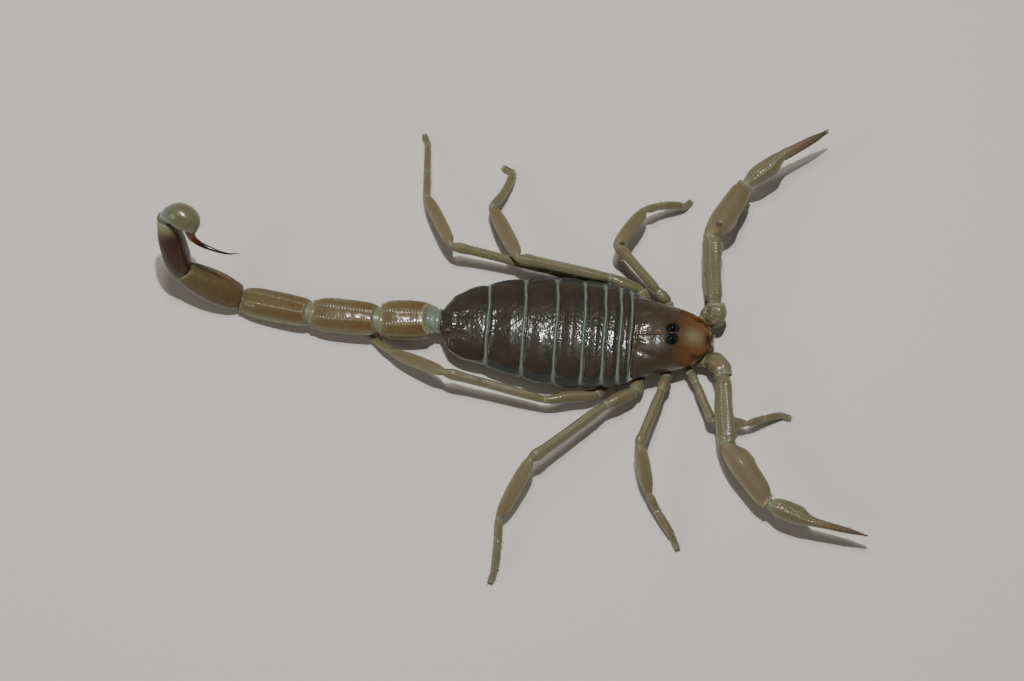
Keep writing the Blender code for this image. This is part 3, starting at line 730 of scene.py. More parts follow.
def tergite(number):
    """One back plate, with its lowered front band, rear rim, faint keels and fine granules."""
    last = number == 7
    front = BANDS[number - 1] - BAND_HALF
    rear = REAR + 0.46 if last else BANDS[number] + BAND_HALF
    length = front - rear
    inset = {6: 0.30, 7: 0.10}.get(number, 0.40)
    corner = 0.55 if last else 0.42
    v = eased(max(40, int(length * 26)))
    u = np.linspace(-1, 1, 170)
    x = front - length * v
    d = np.minimum(x - rear, front - x)
    half = trunk_section(x)[1]
    reach = (half - inset - corner_cut(d, corner) * 0.8) / half
    edge_angle = np.arccos(np.clip(reach, 0, 0.999))
    turn = math.pi / 2 + (math.pi / 2 - edge_angle[:, None]) * u[None, :]
    off = half[:, None] * np.cos(turn)
    front_edge = band_x(number - 1, off) - BAND_HALF
    rear_edge = rear + 0.0 * off if last else band_x(number, off) + BAND_HALF
    base = trunk_point(front_edge + (rear_edge - front_edge) * v[:, None], turn, -0.05)
    vv = np.broadcast_to(v[:, None], off.shape)
    shoulder, slope = SHOULDERS[number - 1], PLATE_SLOPES[number - 1]
    across = base[..., 1] - trunk_section(base[..., 0])[0]
    behind = ramp(vv, shoulder - 0.08, shoulder + 0.08)
    ahead_of_rim = 1 - ramp(vv, 0.86, 0.95)
    rim = bump(vv, 0.92, 0.05) * (0.0 if last else 1.0)
    rise = table(((0, -0.03), (shoulder - 0.16, 0.0), (shoulder, 0.04), (0.86, 0.04 - slope),
                  (1, 0.03 - slope)), vv)
    lift = rise - 0.02 + 0.03 * rim + 0.02 * bump(across, 0, 0.20) * behind * ahead_of_rim
    beads = 0.45 + 0.55 * relief(base, 0.16, number + 60)
    central = bump(across, 0, 1.7)
    ridge = bump((vv - shoulder) * length, 0.0, 0.08)
    lift = lift + 0.016 * ridge * beads * central
    if number >= 6:
        spread = 1.05 - 0.60 * vv if last else 0.80 + 0.0 * vv
        strong, keel = (0.085, (0.35, 0.50, 0.74, 0.90)) if last else (0.05, (0.55, 0.75, 0.90, 0.98))
        held = ramp(vv, keel[0], keel[1]) * (1 - ramp(vv, keel[2], keel[3]))
        for sign in (-1, 1):
            lift = lift + strong * bump(across, sign * spread, 0.20) * held * (0.6 + 0.4 * beads)
            if last:
                lift = lift + 0.03 * bump(across, sign * (1.9 - 0.6 * vv), 0.14) * held
    lift = lift + 0.005 * relief(base, 0.60, number)
    lift = lift + 0.003 * relief(base * (1.0, 0.35, 1.0), 0.20, number + 30)
    dents = relief(base, 0.19, number + 80) + relief(base, 0.42, number + 90)
    lift = lift + (0.003 + 0.009 * central) * dents
    lift = lift + 0.016 * granules(base, 0.20, number + 60, 0.50) * ramp(vv, 0.1, 0.3) * bump(across, 0, 2.1)
    lift = lift + 0.03 * rim * beads * bump(across, 0, 2.4)
    top, bottom, edge = plate(base, PLATE_THICKNESS, 0.07, lift=lift)
    points, faces = plate_mesh(top, bottom)
    pale = with_under(0.70 * bump(edge, 0, 0.045))
    dark = with_under(0.30 * bump(edge, 0.12, 0.09) + 0.12 * (1 - ramp(vv, 0.0, shoulder + 0.15)))
    inner = ramp(vv, 0.1, 0.55) * (1 - ramp(vv, 0.75, 1.0))
    amber = with_under(0.30 * ramp(np.abs(across), 0.9, 2.8) * inner)
    work = Work()
    work.add(points, faces, pale=pale, dark=dark, amber=amber)
    work.make(f"tergite_{number}", BACK, "back_shell", f"mesosoma_{number}")


EYE_AWAY, EYE_RADIUS = 0.44, 0.35      # median eyes: off the midline, and the radius of a lens
DOME = (4.84, 1.62)                    # middle and radius of the smooth amber forehead
SIDE_EYES = ((5.34, 1.30, 0.115), (5.10, 1.44, 0.115), (4.90, 1.56, 0.09))


def carapace():
    """Shield over the head: eye mound, furrows, smooth amber forehead and pale rim."""
    rear, front = SHIELD[0, 0] - 0.02, SHIELD[-1, 0] + 0.22
    v = eased(210, 0.6)
    u = np.linspace(-1, 1, 220)
    x = rear + (front - rear) * v
    section = curve(SHIELD[:, 0], SHIELD[:, 1:], x)
    middle, half, edge_level, top_level = section[:, 0], section[:, 1], section[:, 2], section[:, 3]
    corner = 0.30
    d = x - rear
    half = half - corner_cut(d, corner) * 0.6
    angle = math.pi / 2 * (1 - u)[None, :] * np.ones(len(x))[:, None]
    c = np.cos(angle)
    y = middle[:, None] + half[:, None] * np.sign(c) * np.abs(c) ** 0.92
    z = edge_level[:, None] + (top_level - edge_level)[:, None] * np.abs(np.sin(angle)) ** 0.8
    xs = x[:, None] + 0 * y
    off = y - middle[:, None]
    xs = xs + (band_x(0, off) + BAND_HALF - rear) * (1 - ramp(xs, 0.0, 3.0))
    base = np.stack([xs, y, z - 0.06], -1)
    away = np.abs(off)
    eye_x = EYES_AT[0]
    dome_x, dome_r = DOME
    ring = np.hypot(xs - dome_x, off)
    forehead = 1 - ramp(ring, dome_r - 0.25, dome_r + 0.1)
    mound = 0.20 * np.exp(-((xs - eye_x + 0.05) / 0.66) ** 2 - (off / 0.66) ** 2)
    cleft = -0.05 * bump(off, 0, 0.10) * (1 - bump(xs, eye_x, 0.75))
    cleft = cleft * ramp(xs, 0.1, 0.6) * (1 - ramp(xs, 3.9, 4.6))
    ridge = 0.08 * bump(off, 0, 0.10) * bump(xs, eye_x, 0.42)
    rear_keel = 0.08 * bump(away, 0.68 + 0.10 * (xs - 0.2), 0.20) * bump(xs, 0.72, 0.42)
    side_furrow = -0.05 * bump(away, 1.25 + 0.28 * xs, 0.26) * bump(xs, 1.5, 1.1)
    rear_groove = -0.04 * bump(xs, rear + 0.36, 0.10)
    rim_groove = -0.05 * bump(ring, dome_r, 0.08) * ramp(xs, dome_x - 0.2, dome_x + 0.5)
    dome = 0.10 * np.clip(1 - (ring / dome_r) ** 2, 0, 1)
    dome = dome - 0.03 * bump(ring, 0.55, 0.25) * ramp(xs, dome_x, dome_x + 0.3)
    rough = 1 - 0.8 * forehead
    keel_skin = 0.008 + 0.022 * bump(away, 0.68, 0.30) * bump(xs, 0.72, 0.5)
    brow = bump(ring, dome_r - 0.28, 0.26) * ramp(xs, dome_x, dome_x + 0.5)
    lift = (mound + cleft + ridge + rear_keel + side_furrow + rear_groove + rim_groove + dome
            + 0.006 * relief(base, 0.50, 3) + 0.002 * relief(base, 0.18, 4)
            + keel_skin * relief(base, 0.17, 6) * rough * 0.6
            + 0.016 * granules(base, 0.18, 5, 0.6) * rough * bump(off, 0, 1.9)
            + 0.022 * granules(base, 0.16, 8, 0.5) * brow)
    top, bottom, edge = plate(base, PLATE_THICKNESS, 0.10, lift=lift, floor=SHIELD[0, 5])
    bottom[..., 2] = np.minimum(bottom[..., 2], base[..., 2] - 0.02)
    shape, faces = plate_mesh(top, bottom)
    amber = 0.86 * ramp(xs, eye_x - 0.3, dome_x + 0.3) * (0.70 + 0.30 * ramp(ring, 0.5, 1.3))
    amber = amber + 0.35 * bump(xs, eye_x - 0.9, 0.35) * bump(off, 0, 0.16)
    # painted sheen: the dome's crown is painted a lighter olive, partly its own tone, partly painted
    # highlight where it faces the light
    olive_and_sheen = 0.85 * np.exp(-((xs - dome_x - 0.10) / 0.85) ** 2 - (off / 0.66) ** 2) * (1 - ramp(xs, 5.5, 6.0))
    patch = np.exp(-((xs - 6.10) / 0.24) ** 2 - ((off - 0.02) / 0.44) ** 2)
    side_eyes = np.exp(-((xs - 5.20) / 0.34) ** 2 - ((away - 1.42) / 0.15) ** 2)
    arc = bump(ring, dome_r + 0.02, 0.07) * ramp(xs, dome_x, dome_x + 0.6)
    socket = 1 - ramp(np.hypot((xs - eye_x + 0.04) / 1.05, away - EYE_AWAY + 0.02), 0.42, 0.54)
    between = 1 - bump(off, 0, 0.07)
    dark = 1.1 * patch + 0.85 * side_eyes + 0.45 * arc + 1.4 * socket * between
    dark = np.clip(dark + 0.25 * bump(edge, 0.22, 0.08), 0, 1)
    pale = np.clip(0.9 * bump(edge, 0.0, 0.11) * ramp(xs, rear + 0.25, rear + 0.6) + olive_and_sheen, 0, 1)
    work = Work()
    work.add(shape, faces, pale=with_under(pale), dark=with_under(dark), amber=with_under(amber))
    work.make("carapace_shield", FRONT, "front_shell", "carapace")


def add_swept(work, line, rows, around, **masks):
    """Shape swept along a line, added to a piece with even masks."""
    points, faces, _, _ = swept(line, rows, around)
    work.add(points, faces, **masks)


def ball(work, middle, radii, axis=UP, count=18, around=24, **masks):
    """Smooth ellipsoid. The last radius lies along the axis."""
    middle, axis = np.asarray(middle, float), unit(np.asarray(axis, float))
    up = np.array((1.0, 0.0, 0.0)) if abs(axis[0]) < 0.8 else np.array((0.0, 1.0, 0.0))
    ends = np.array([middle - axis * radii[2], middle + axis * radii[2]])
    line = Line(ends, [axis, axis], [up, up], [radii[0]] * 2, [radii[1]] * 2)
    rows = [(radii[2] * (1 - math.cos(a)), math.sin(a)) for a in np.linspace(0, math.pi, count)]
    rows[0], rows[-1] = (0.0, 0.0), (2 * radii[2], 0.0)
    add_swept(work, line, rows, around, **masks)


def eyes():
    """Two glossy median eyes, and a cluster of three small eyes at each front corner."""
    for side, sign in (("left", 1.0), ("right", -1.0)):
        low, high = box_of(f"median_eye_{side}")
        middle = np.array(((low[0] + high[0]) / 2, EYES_AT[1] + sign * EYE_AWAY, low[2] - 0.02))
        work = Work()
        ball(work, middle, (EYE_RADIUS, EYE_RADIUS * 1.08, EYE_RADIUS), axis=(0.1, sign * 0.5, 1.0),
             count=28, around=40)
        work.make(f"median_eye_{side}_lens", EYE, "eye", f"median_eye_{side}")
    work = Work()
    for sign in (1.0, -1.0):
        for k, (x, away, size) in enumerate(SIDE_EYES):
            spine = curve(SHIELD[:, 0], SHIELD[:, 1], x)
            ball(work, (x, spine + sign * away, 3.36 + 0.10 * k), (size, size, size),
                 axis=(0, sign, 0.6), count=12, around=16)
    work.make("lateral_eyes", EYE, "eye")


# ---- Limbs -------------------------------------------------------------------------------


def superellipse(angle, power):
    """Reach of a rounded square section of unit half size."""
    return (np.abs(np.cos(angle)) ** power + np.abs(np.sin(angle)) ** power) ** (-1.0 / power)


def add_shell(work, line, start, end, around=32, count=24, flare=0.06, rows=(), row_height=0.03, edges=(),
              edge_height=0.02, edge_paint=26.0, width=9.0, pitch=0.2, power=2.0, form=None, neck=0.10,
              knobs=0.035, lip=SHELL_LIP, tuck=0.35, head_reach=0.88, seed=0, inner=0.0, amber=0.0,
              dark=0.0, pale=0.0, rim_paint=0.5, row_paint=0.2):
    """One limb shell between two distances on a line.

    rows are angles of granular keels, 90 degrees being the upper side. edges are angles of pale, scalloped
    keels. form scales the section by share of the length and angle. inner darkens the face between edges."""
    size = float(np.mean(line.at(np.linspace(start, end, 5))[4]))
    span = end - start

    def along(s, angle, places, spread):
        return sum((bump(turned(angle, place), 0.0, spread) for place in places), 0.0 * s * angle)

    def fade(s):
        return ramp(s, start, start + 0.12 * span) * (1 - ramp(s, end - 0.10 * span, end))

    def shape(s, angle):
        reach = superellipse(angle, power) if power != 2.0 else 1.0 + 0.0 * angle
        place = np.stack([s * 1.0, np.cos(angle) * size, np.sin(angle) * size], -1)
        ends = bump(s, end - 0.10, 0.22) + 0.7 * bump(s, start + 0.10, 0.22)
        collar = flare * (bump(s, end - 0.05, 0.13) - 0.5 * bump(s, end - 0.38, 0.16))
        narrow = neck * (1 - ramp(s, start, start + 0.30 * span))
        beads = 0.35 + 0.65 * np.abs(np.sin(math.pi * s / pitch)) ** 1.5
        scallops = 0.6 + 0.4 * np.abs(np.sin(math.pi * s / (pitch * 1.4)))
        ridges = (row_height * along(s, angle, rows, width) * beads
                  + edge_height * along(s, angle, edges, width * 1.3) * scallops) * fade(s) / size
        lumps = knobs * ends * relief(place, 0.42, seed + 900) + 0.010 * relief(place, 0.6, seed)
        spread = reach * (1 + collar - narrow + lumps) + ridges
        return spread * form((s - start) / span, angle) if form else spread

    points, faces, s, angle = swept(line, shell_rows(start, end, size, lip=lip, count=count, tuck=tuck,
                                                     head_reach=head_reach), around, shape)
    rims = bump(s, end, 0.12) + 0.4 * bump(s, end, 0.45) + 0.35 * bump(s, start, 0.30)
    edge = along(s, angle, edges, edge_paint) * fade(s)
    row = along(s, angle, rows, width * 0.8) * fade(s)
    face = fade(s) * (1 - np.clip(edge, 0, 1))
    values = [value(s, angle) if callable(value) else value for value in (pale, dark, amber)]
    work.add(points, faces, pale=values[0] + rim_paint * rims + 0.8 * edge + row_paint * row,
             dark=values[1] + inner * face, amber=values[2] + 0.5 * inner * face)


def add_joint(work, line, place, reach=0.86, length=0.5, around=28, bulge=0.05):
    """Soft skin inside a joint of one line."""
    rows = [(place - length / 2, 0.0), (place - length / 2, 0.5)]
    for t in np.linspace(-1, 1, 9):
        folds = bulge * math.cos(3 * math.pi * t) * 0.5
        rows.append((place + t * length / 2, reach * (1 - 0.10 * t * t) + folds))
    rows += [(place + length / 2, 0.5), (place + length / 2, 0.0)]
    add_swept(work, line, rows, around, pale=0.3)


def bridge_line(before, after, depth=0.35):
    """Line across the joint between two limb lines, from inside the first to inside the second."""
    a_mid, _, _, a_run, a_wide, a_high = before.at([before.length - depth, before.length])
    b_mid, _, _, b_run, b_wide, b_high = after.at([0.0, depth])
    middles = [a_mid[0], (a_mid[1] + b_mid[0]) / 2, b_mid[1]]
    runs = [a_run[0], unit(a_run[1] + b_run[0]), b_run[1]]
    wide = [a_wide[0], (a_wide[1] + b_wide[0]) / 2, b_wide[1]]
    high = [a_high[0], (a_high[1] + b_high[0]) / 2, b_high[1]]
    return Line(middles, runs, [before.ups[-1], before.ups[-1], after.ups[0]], wide, high)


def add_bridge(work, before, after, reach=0.88, depth=0.3, around=28):
    """Soft skin across the joint between two limb lines."""
    line = bridge_line(before, after, depth)
    rows = [(0.0, 0.0), (0.0, 0.5)] + [(line.length * t, reach * (0.93 + 0.07 * math.sin(math.pi * t)))
                                       for t in np.linspace(0, 1, 9)]
    rows += [(line.length, 0.5), (line.length, 0.0)]
    add_swept(work, line, rows, around, pale=0.3)


def add_claw(work, root, ahead, side, size, radius, droop=0.7, **masks):
    """Curved claw that tapers to a point, bending down to one side."""
    root, ahead, side = np.asarray(root, float), unit(np.asarray(ahead, float)), np.asarray(side, float)
    points, halves = [], []
    for t in np.linspace(0, 1, 8):
        bend = droop * t * t
        points.append(root + ahead * size * t * (1 - 0.25 * t * t) + side * size * 0.42 * t
                      - UP * size * bend * 0.45)
        halves.append(radius * (1 - t) ** 0.7 + 0.008)
    line = path_line(points, halves)
    rows = [(0.0, 0.0)] + [(line.length * t, 1.0) for t in np.linspace(0.0, 0.97, 12)] + [(line.length, 0.0)]
    add_swept(work, line, rows, 10, **masks)


def freckle(s, angle, place, side):
    """One small dark spot on a shell."""
    return 2.5 * bump(s, place, 0.16) * bump(turned(angle, side), 0.0, 14.0)


FRECKLED_LEG = ("right", 4)    # the one leg with a small dark spot
HAIRS = []                     # (line, start, end, count, length, seed) rows, planted at the end


def plant(line, first, margin, count, length, seed):
    """Setae to be made at the end, from a distance along a line to a margin before its end."""
    HAIRS.append((line, first, line.length - margin, count, length, seed))


def leg(side, number):
    """Coxa, trochanter, femur, patella, tibia and two-part tarsus with claws."""
    key = f"leg_{side}_{number}"
    sign = 1.0 if side == "left" else -1.0
    middle = np.array((2.0, 0.4, 1.6))
    thigh = limb_line(f"{key}_thigh", 8, middle)
    patella = limb_line(f"{key}_patella", 8, thigh.middles[-1])
    foot = limb_line(f"{key}_foot", 8, patella.middles[-1])
    seed = number * 10 + (5 if sign > 0 else 0)
    hip, hinge = thigh.knots[1], thigh.knots[3]
    ankle = (foot.knots[2] + foot.knots[3]) / 2
    heel = (foot.knots[4] + foot.knots[5]) / 2

    work = Work()
    add_shell(work, thigh, -0.25, hip, count=18, flare=0.03, seed=seed, power=2.2, knobs=0.05)
    work.make(f"{key}_coxa", LIMB, "limb_shell")
    work = Work()
    add_shell(work, thigh, hip, hinge, count=40, seed=seed + 1, knobs=0.12, neck=0.12, rim_paint=0.7,
              rows=(90,), row_height=0.04, pitch=0.30)

    def flared(t, angle):
        return 1 + 0.14 * ramp(t, 0.78, 0.90) - 0.20 * ramp(t, 0.93, 1.0) - 0.06 * bump(t, 0.5, 0.3)

    add_shell(work, thigh, hinge, thigh.length + 0.10, around=48, count=120, seed=seed + 2, rows=(84, 118),
              row_height=0.06, edges=(0, 180), edge_height=0.015, edge_paint=36.0, neck=0.10,
              power=2.2, pitch=0.22, form=flared, tuck=0.8, head_reach=0.92, knobs=0.07, flare=0.0,
              rim_paint=0.25,
              dark=lambda s, angle: (freckle(s, angle, hinge + 0.66 * (thigh.length - hinge), 95.0)
                                     if (side, number) == FRECKLED_LEG else 0.0 * s))
    work.make(f"{key}_femur", LIMB, "limb_shell", f"{key}_thigh")
    work = Work()
    add_shell(work, patella, 0.0, patella.length, around=48, count=90, seed=seed + 3, edges=(0, 180),
              edge_height=0.02, edge_paint=40.0, rows=(250, 290), row_height=0.015, power=2.5, neck=0.10,
              form=lambda t, angle: 1 - 0.18 * ramp(t, 0.93, 1.0), tuck=0.5, head_reach=0.92, inner=0.06,
              rim_paint=0.3)
    work.make(f"{key}_patella_shell", LEAF, "limb_shell", f"{key}_patella")

    work = Work()
    for start, end, extra in ((0.0, ankle, 4), (ankle, heel, 5)):
        add_shell(work, foot, start, end, count=44, flare=0.10, seed=seed + extra, edges=(0, 180),
                  edge_height=0.01, edge_paint=40.0, neck=0.10, tuck=0.7, head_reach=0.92, rim_paint=0.4)
    claw_length = 0.26 + 0.03 * number
    tip = foot.length - claw_length * 0.6
    add_shell(work, foot, heel, tip, count=24, flare=0.0, seed=seed + 6, neck=0.10, edges=(0, 180),
              edge_height=0.0, edge_paint=36.0, dark=lambda s, angle: 0.45 * ramp(s, (heel + tip) / 2, tip))
    point, sideways, _, ahead, wide, _ = foot.at_one(tip - 0.12)
    for turn in (-1.0, 1.0):
        add_claw(work, point + sideways * wide * 0.25 * turn + UP * 0.06, ahead, sideways * turn * 0.55,
                 claw_length + 0.05, 0.05, dark=0.75, amber=0.3)
    for place in (ankle - 0.05, heel - 0.05):
        spur, sideways, over, ahead, wide, high = foot.at_one(place)
        for turn in (-1.0, 1.0):
            add_claw(work, spur + sideways * wide * 0.55 * turn - over * high * 0.7, ahead - over * 0.5,
                     sideways * turn, 0.20, 0.04, droop=0.2, dark=0.15, amber=0.5)
    work.make(f"{key}_tarsus", LIMB, "limb_shell", f"{key}_foot")

    work = Work()
    add_joint(work, thigh, hip, reach=0.80)
    add_joint(work, thigh, hinge, reach=0.74)
    add_joint(work, foot, ankle, length=0.36, reach=0.78)
    add_joint(work, foot, heel, length=0.32, reach=0.78)
    add_bridge(work, thigh, patella)
    add_bridge(work, patella, foot)
    work.make(f"{key}_joints", JOINT, "limb_shell")
    plant(thigh, hinge + 0.3, 0.2, 16, 0.34, seed)
    plant(patella, 0.3, 0.2, 16, 0.32, seed + 1)
    plant(foot, 0.2, 0.5, 46, 0.30, seed + 2)


def pedipalp(side):
    """Trochanter, femur, patella, and the pincer with its two fingers."""
    key = f"pedipalp_{side}"
    sign = 1.0 if side == "left" else -1.0
    start = np.array((5.2, 0.6 + sign * 1.4, 1.7))
    root = limb_line(f"{key}_trochanter", 12, start)
    femur = limb_line(f"{key}_femur", 12, root.middles[-1])
    patella = limb_line(f"{key}_patella", 12, femur.middles[-1])
    palm = limb_line(f"{key}_palm", 12, patella.middles[-1])
    finger = limb_line(f"{key}_finger", 12, palm.middles[3])
    seed = 100 + (10 if sign > 0 else 0)
    inner = 180.0 if sign > 0 else 0.0         # the side of the pedipalp that faces forward

    outer = 180.0 - inner

    def sides(t, angle, inner_rows, outer_rows):
        """Reach that follows one table on the inner side and another on the outer side."""
        return (1 + bump(turned(angle, inner), 0.0, 62.0) * table(inner_rows, t)
                + bump(turned(angle, outer), 0.0, 62.0) * table(outer_rows, t))

    def lumpy(t, angle):
        return sides(t, angle, ((0, 0.1), (0.25, 0.42), (0.5, 0.22), (0.82, 0.46), (1, 0.15)),
                     ((0, 0.0), (0.35, 0.10), (0.6, -0.05), (0.85, 0.12), (1, 0)))

    work = Work()
    split = root.knots[1] + 0.15
    add_shell(work, root, -0.15, split, around=48, count=24, flare=0.05, seed=seed, power=2.2, knobs=0.06)
    add_shell(work, root, split, root.length, around=96, count=90, flare=0.08, seed=seed + 1, knobs=0.16,
              form=lumpy, rim_paint=0.7, tuck=0.5, rows=(70, 115), row_height=0.06, pitch=0.34, width=14.0)
    work.make(f"{key}_trochanter_shell", LIMB, "limb_shell", f"{key}_trochanter")

    def femur_form(t, angle):
        return sides(t, angle,
                     ((0, -0.05), (0.12, -0.08), (0.4, -0.20), (0.65, -0.10), (0.88, 0.16), (1, 0.0)),
                     ((0, 0.05), (0.3, 0.08), (0.5, 0.20), (0.75, 0.14), (1, 0.20)))

    work = Work()
    add_shell(work, femur, 0.0, femur.length, around=96, count=170, seed=seed + 2, rows=(72, 116, inner),
              edges=(outer,), power=2.3, form=femur_form, neck=0.0, row_height=0.06, pitch=0.24, tuck=0.9,
              head_reach=0.95, edge_paint=30.0, knobs=0.06)
    work.make(f"{key}_femur_shell", LIMB, "limb_shell", f"{key}_femur")

    def patella_form(t, angle):
        return sides(t, angle,
                     ((0, -0.10), (0.10, -0.02), (0.22, 0.20), (0.32, 0.20), (0.50, 0.0), (0.7, -0.02),
                      (0.9, -0.06), (1, 0.10)),
                     ((0, 0.35), (0.15, 0.20), (0.4, 0.04), (0.7, -0.02), (1, 0.12)))

    work = Work()
    add_shell(work, patella, 0.0, patella.length, around=80, count=140, seed=seed + 3, edges=(0, 180),
              edge_height=0.02, edge_paint=30.0, rows=(240, 300), row_height=0.015, power=2.2, neck=0.0,
              form=patella_form, tuck=0.9, head_reach=0.95, inner=0.03,
              dark=lambda s, angle: freckle(s, angle, 0.15 * patella.length, 92.0) if sign > 0 else 0.0 * s)
    work.make(f"{key}_patella_shell", LEAF, "limb_shell", f"{key}_patella")

    knuckle = palm.knots[4]
    tip = palm.length

    def palm_form(t, angle):
        s = t * tip
        slim = table(((0.0, 1.0), (knuckle - 1.2, 0.98), (knuckle - 0.6, 1.02), (knuckle, 1.22),
                      (knuckle + 0.6, 1.36), (knuckle + 1.9, 1.15), (knuckle + 3.2, 0.95), (tip, 0.35)), s)
        fill = 0.22 * bump(turned(angle, inner), 0.0, 62.0) * bump(s, knuckle - 0.2, 0.9)
        return slim * (1 - 0.10 * (1 - ramp(t, 0.05, 0.16))) + fill

    def palm_amber(s, angle):
        return 0.8 * ramp(s, knuckle + 0.3, knuckle + 2.6)

    def painted_glints(s, angle, first, last):
        """Painted highlight: small pale glint spots along the upper side of a finger, where its grains catch
        the light.
        """
        place = np.stack([s * 1.0, np.cos(angle) * 0.4, np.sin(angle) * 0.4], -1)
        grain = ramp(granules(place, 0.12, seed + 40, 0.25), 0.05, 0.45)
        held = ramp(s, first, first + 0.4) * (1 - ramp(s, last - 0.5, last))
        return 0.7 * grain * held * ramp(np.sin(angle), 0.2, 0.6)

    work = Work()
    # the pale grains along the fixed finger are painted highlight glints
    add_shell(work, palm, 0.0, tip, around=72, count=200, flare=0.0, seed=seed + 4, amber=palm_amber,
              lip=0.02, form=palm_form, neck=0.0, edges=(0, 180), edge_height=0.008, rim_paint=0.0,
              pale=lambda s, angle: 0.5 * bump(s, 0.0, 0.5) + painted_glints(s, angle, knuckle + 0.9, tip),
              dark=lambda s, angle: 0.7 * ramp(s, knuckle + 0.8, tip - 0.3),
              rows=(80, 112), row_height=0.045, pitch=0.26, tuck=0.6, head_reach=0.95)
    teeth_row(work, palm, knuckle + 0.8, tip - 0.3, 270, 24, 0.80)
    work.make(f"{key}_palm_shell", LIMB, "limb_shell", f"{key}_palm")

    fixed = palm.at(np.clip(knuckle + 0.5 + finger.knots, 0, tip))[0]
    closer = np.array((0.55, 0.55, 0.18))
    closed = finger.middles + (fixed - finger.middles) * closer
    finger = Line(closed, finger.normals, finger.ups, finger.across, finger.high)

    def finger_form(t, angle):
        return table(((0.0, 1.25), (0.3, 1.12), (0.8, 0.85), (1.0, 0.38)), t)

    work = Work()
    # the pale grains along the movable finger are painted highlight glints
    add_shell(work, finger, -0.25, finger.length, around=44, count=110, flare=0.0, seed=seed + 5, lip=0.02,
              amber=lambda s, angle: 0.8 * ramp(s, -0.2, 1.8), form=finger_form, neck=0.0, rim_paint=0.0,
              dark=lambda s, angle: 0.7 * ramp(s, 0.6, finger.length - 0.3), rows=(60, 90, 120),
              row_height=0.045, pitch=0.24, pale=lambda s, angle: painted_glints(s, angle, 0.5, finger.length))
    teeth_row(work, finger, 0.6, finger.length - 0.3, 90, 24, 0.80)
    work.make(f"{key}_finger_shell", LIMB, "limb_shell", f"{key}_finger")

    work = Work()
    add_joint(work, root, split, reach=0.78, length=0.5)
    add_bridge(work, root, femur)
    add_bridge(work, femur, patella)
    add_bridge(work, patella, palm)
    work.make(f"{key}_joints", JOINT, "limb_shell")
    plant(femur, 0.3, 0.3, 22, 0.42, seed)
    plant(patella, 0.3, 0.3, 20, 0.42, seed + 1)
    plant(palm, 0.3, 0.3, 40, 0.36, seed + 2)
    plant(finger, 0.3, 0.3, 20, 0.26, seed + 3)


def teeth_row(work, line, start, end, side, count, reach):
    """Row of small dark teeth along one side of a finger."""
    for k in range(count):
        s = start + (end - start) * k / (count - 1)
        point, out = line.spot(np.array(s), np.array(math.radians(side)), reach)
        size = 0.035 if k % 5 else 0.055
        ball(work, point, (size * 0.7, size * 0.7, size * 1.3), axis=out, count=8, around=8, dark=0.8,
             amber=1.0)


# ---- Tail --------------------------------------------------------------------------------

TAIL_DORSAL = ((0.0, 0.0, 1.0), (0.0, 0.05, 1.0), (0.0, 0.15, 1.0), (0.58, 0.40, 0.70), (0.95, 0.10, 0.10))
NOTCHES = (0.78, 0.55, 0.50, 0.42, 0.36)    # how far each segment is cut back over the joint before it
TAIL_KEELS = ((66, 108, 28, 150, 235, 305), (66, 108, 28, 150, 235, 305), (66, 106, 235, 305),
              (62, 118, 230, 310), (40, 140, 225, 270, 315))
KEEL_HEIGHTS = (0.09, 0.08, 0.06, 0.03, 0.03)
KEEL_PALE_AND_SHEEN = (0.35, 0.35, 0.3, 0.05, 0.0)     # paleness painted on the keel rows: partly their own paler colour, partly painted highlight where the granular keels catch the light
TAIL_FILL = 0.976              # half size of a segment's shell within its solid's
TAIL_BROWN = (0.46, 0.44, 0.38, 0.34, 0.45)   # brown zone near the front of each segment
TAIL_PAINTED_SHADE = (0.0, 0.0, 0.05, 0.30, 1.0)       # painted shade: dark brown over the whole segment, strongest on the steep fifth segment, which turns away from the light
TAIL_SWELL = (0.03, 0.02, 0.0, 0.12, 0.0)     # how far the segment swells
TAIL_TAPER = (0.0, 0.0, 0.04, 0.10, 0.08)     # how far its rear half tapers
TAIL_CLIMB = (0.14, 0.13, 0.09, 0.0, 0.0)     # how far its upper side climbs to the rear


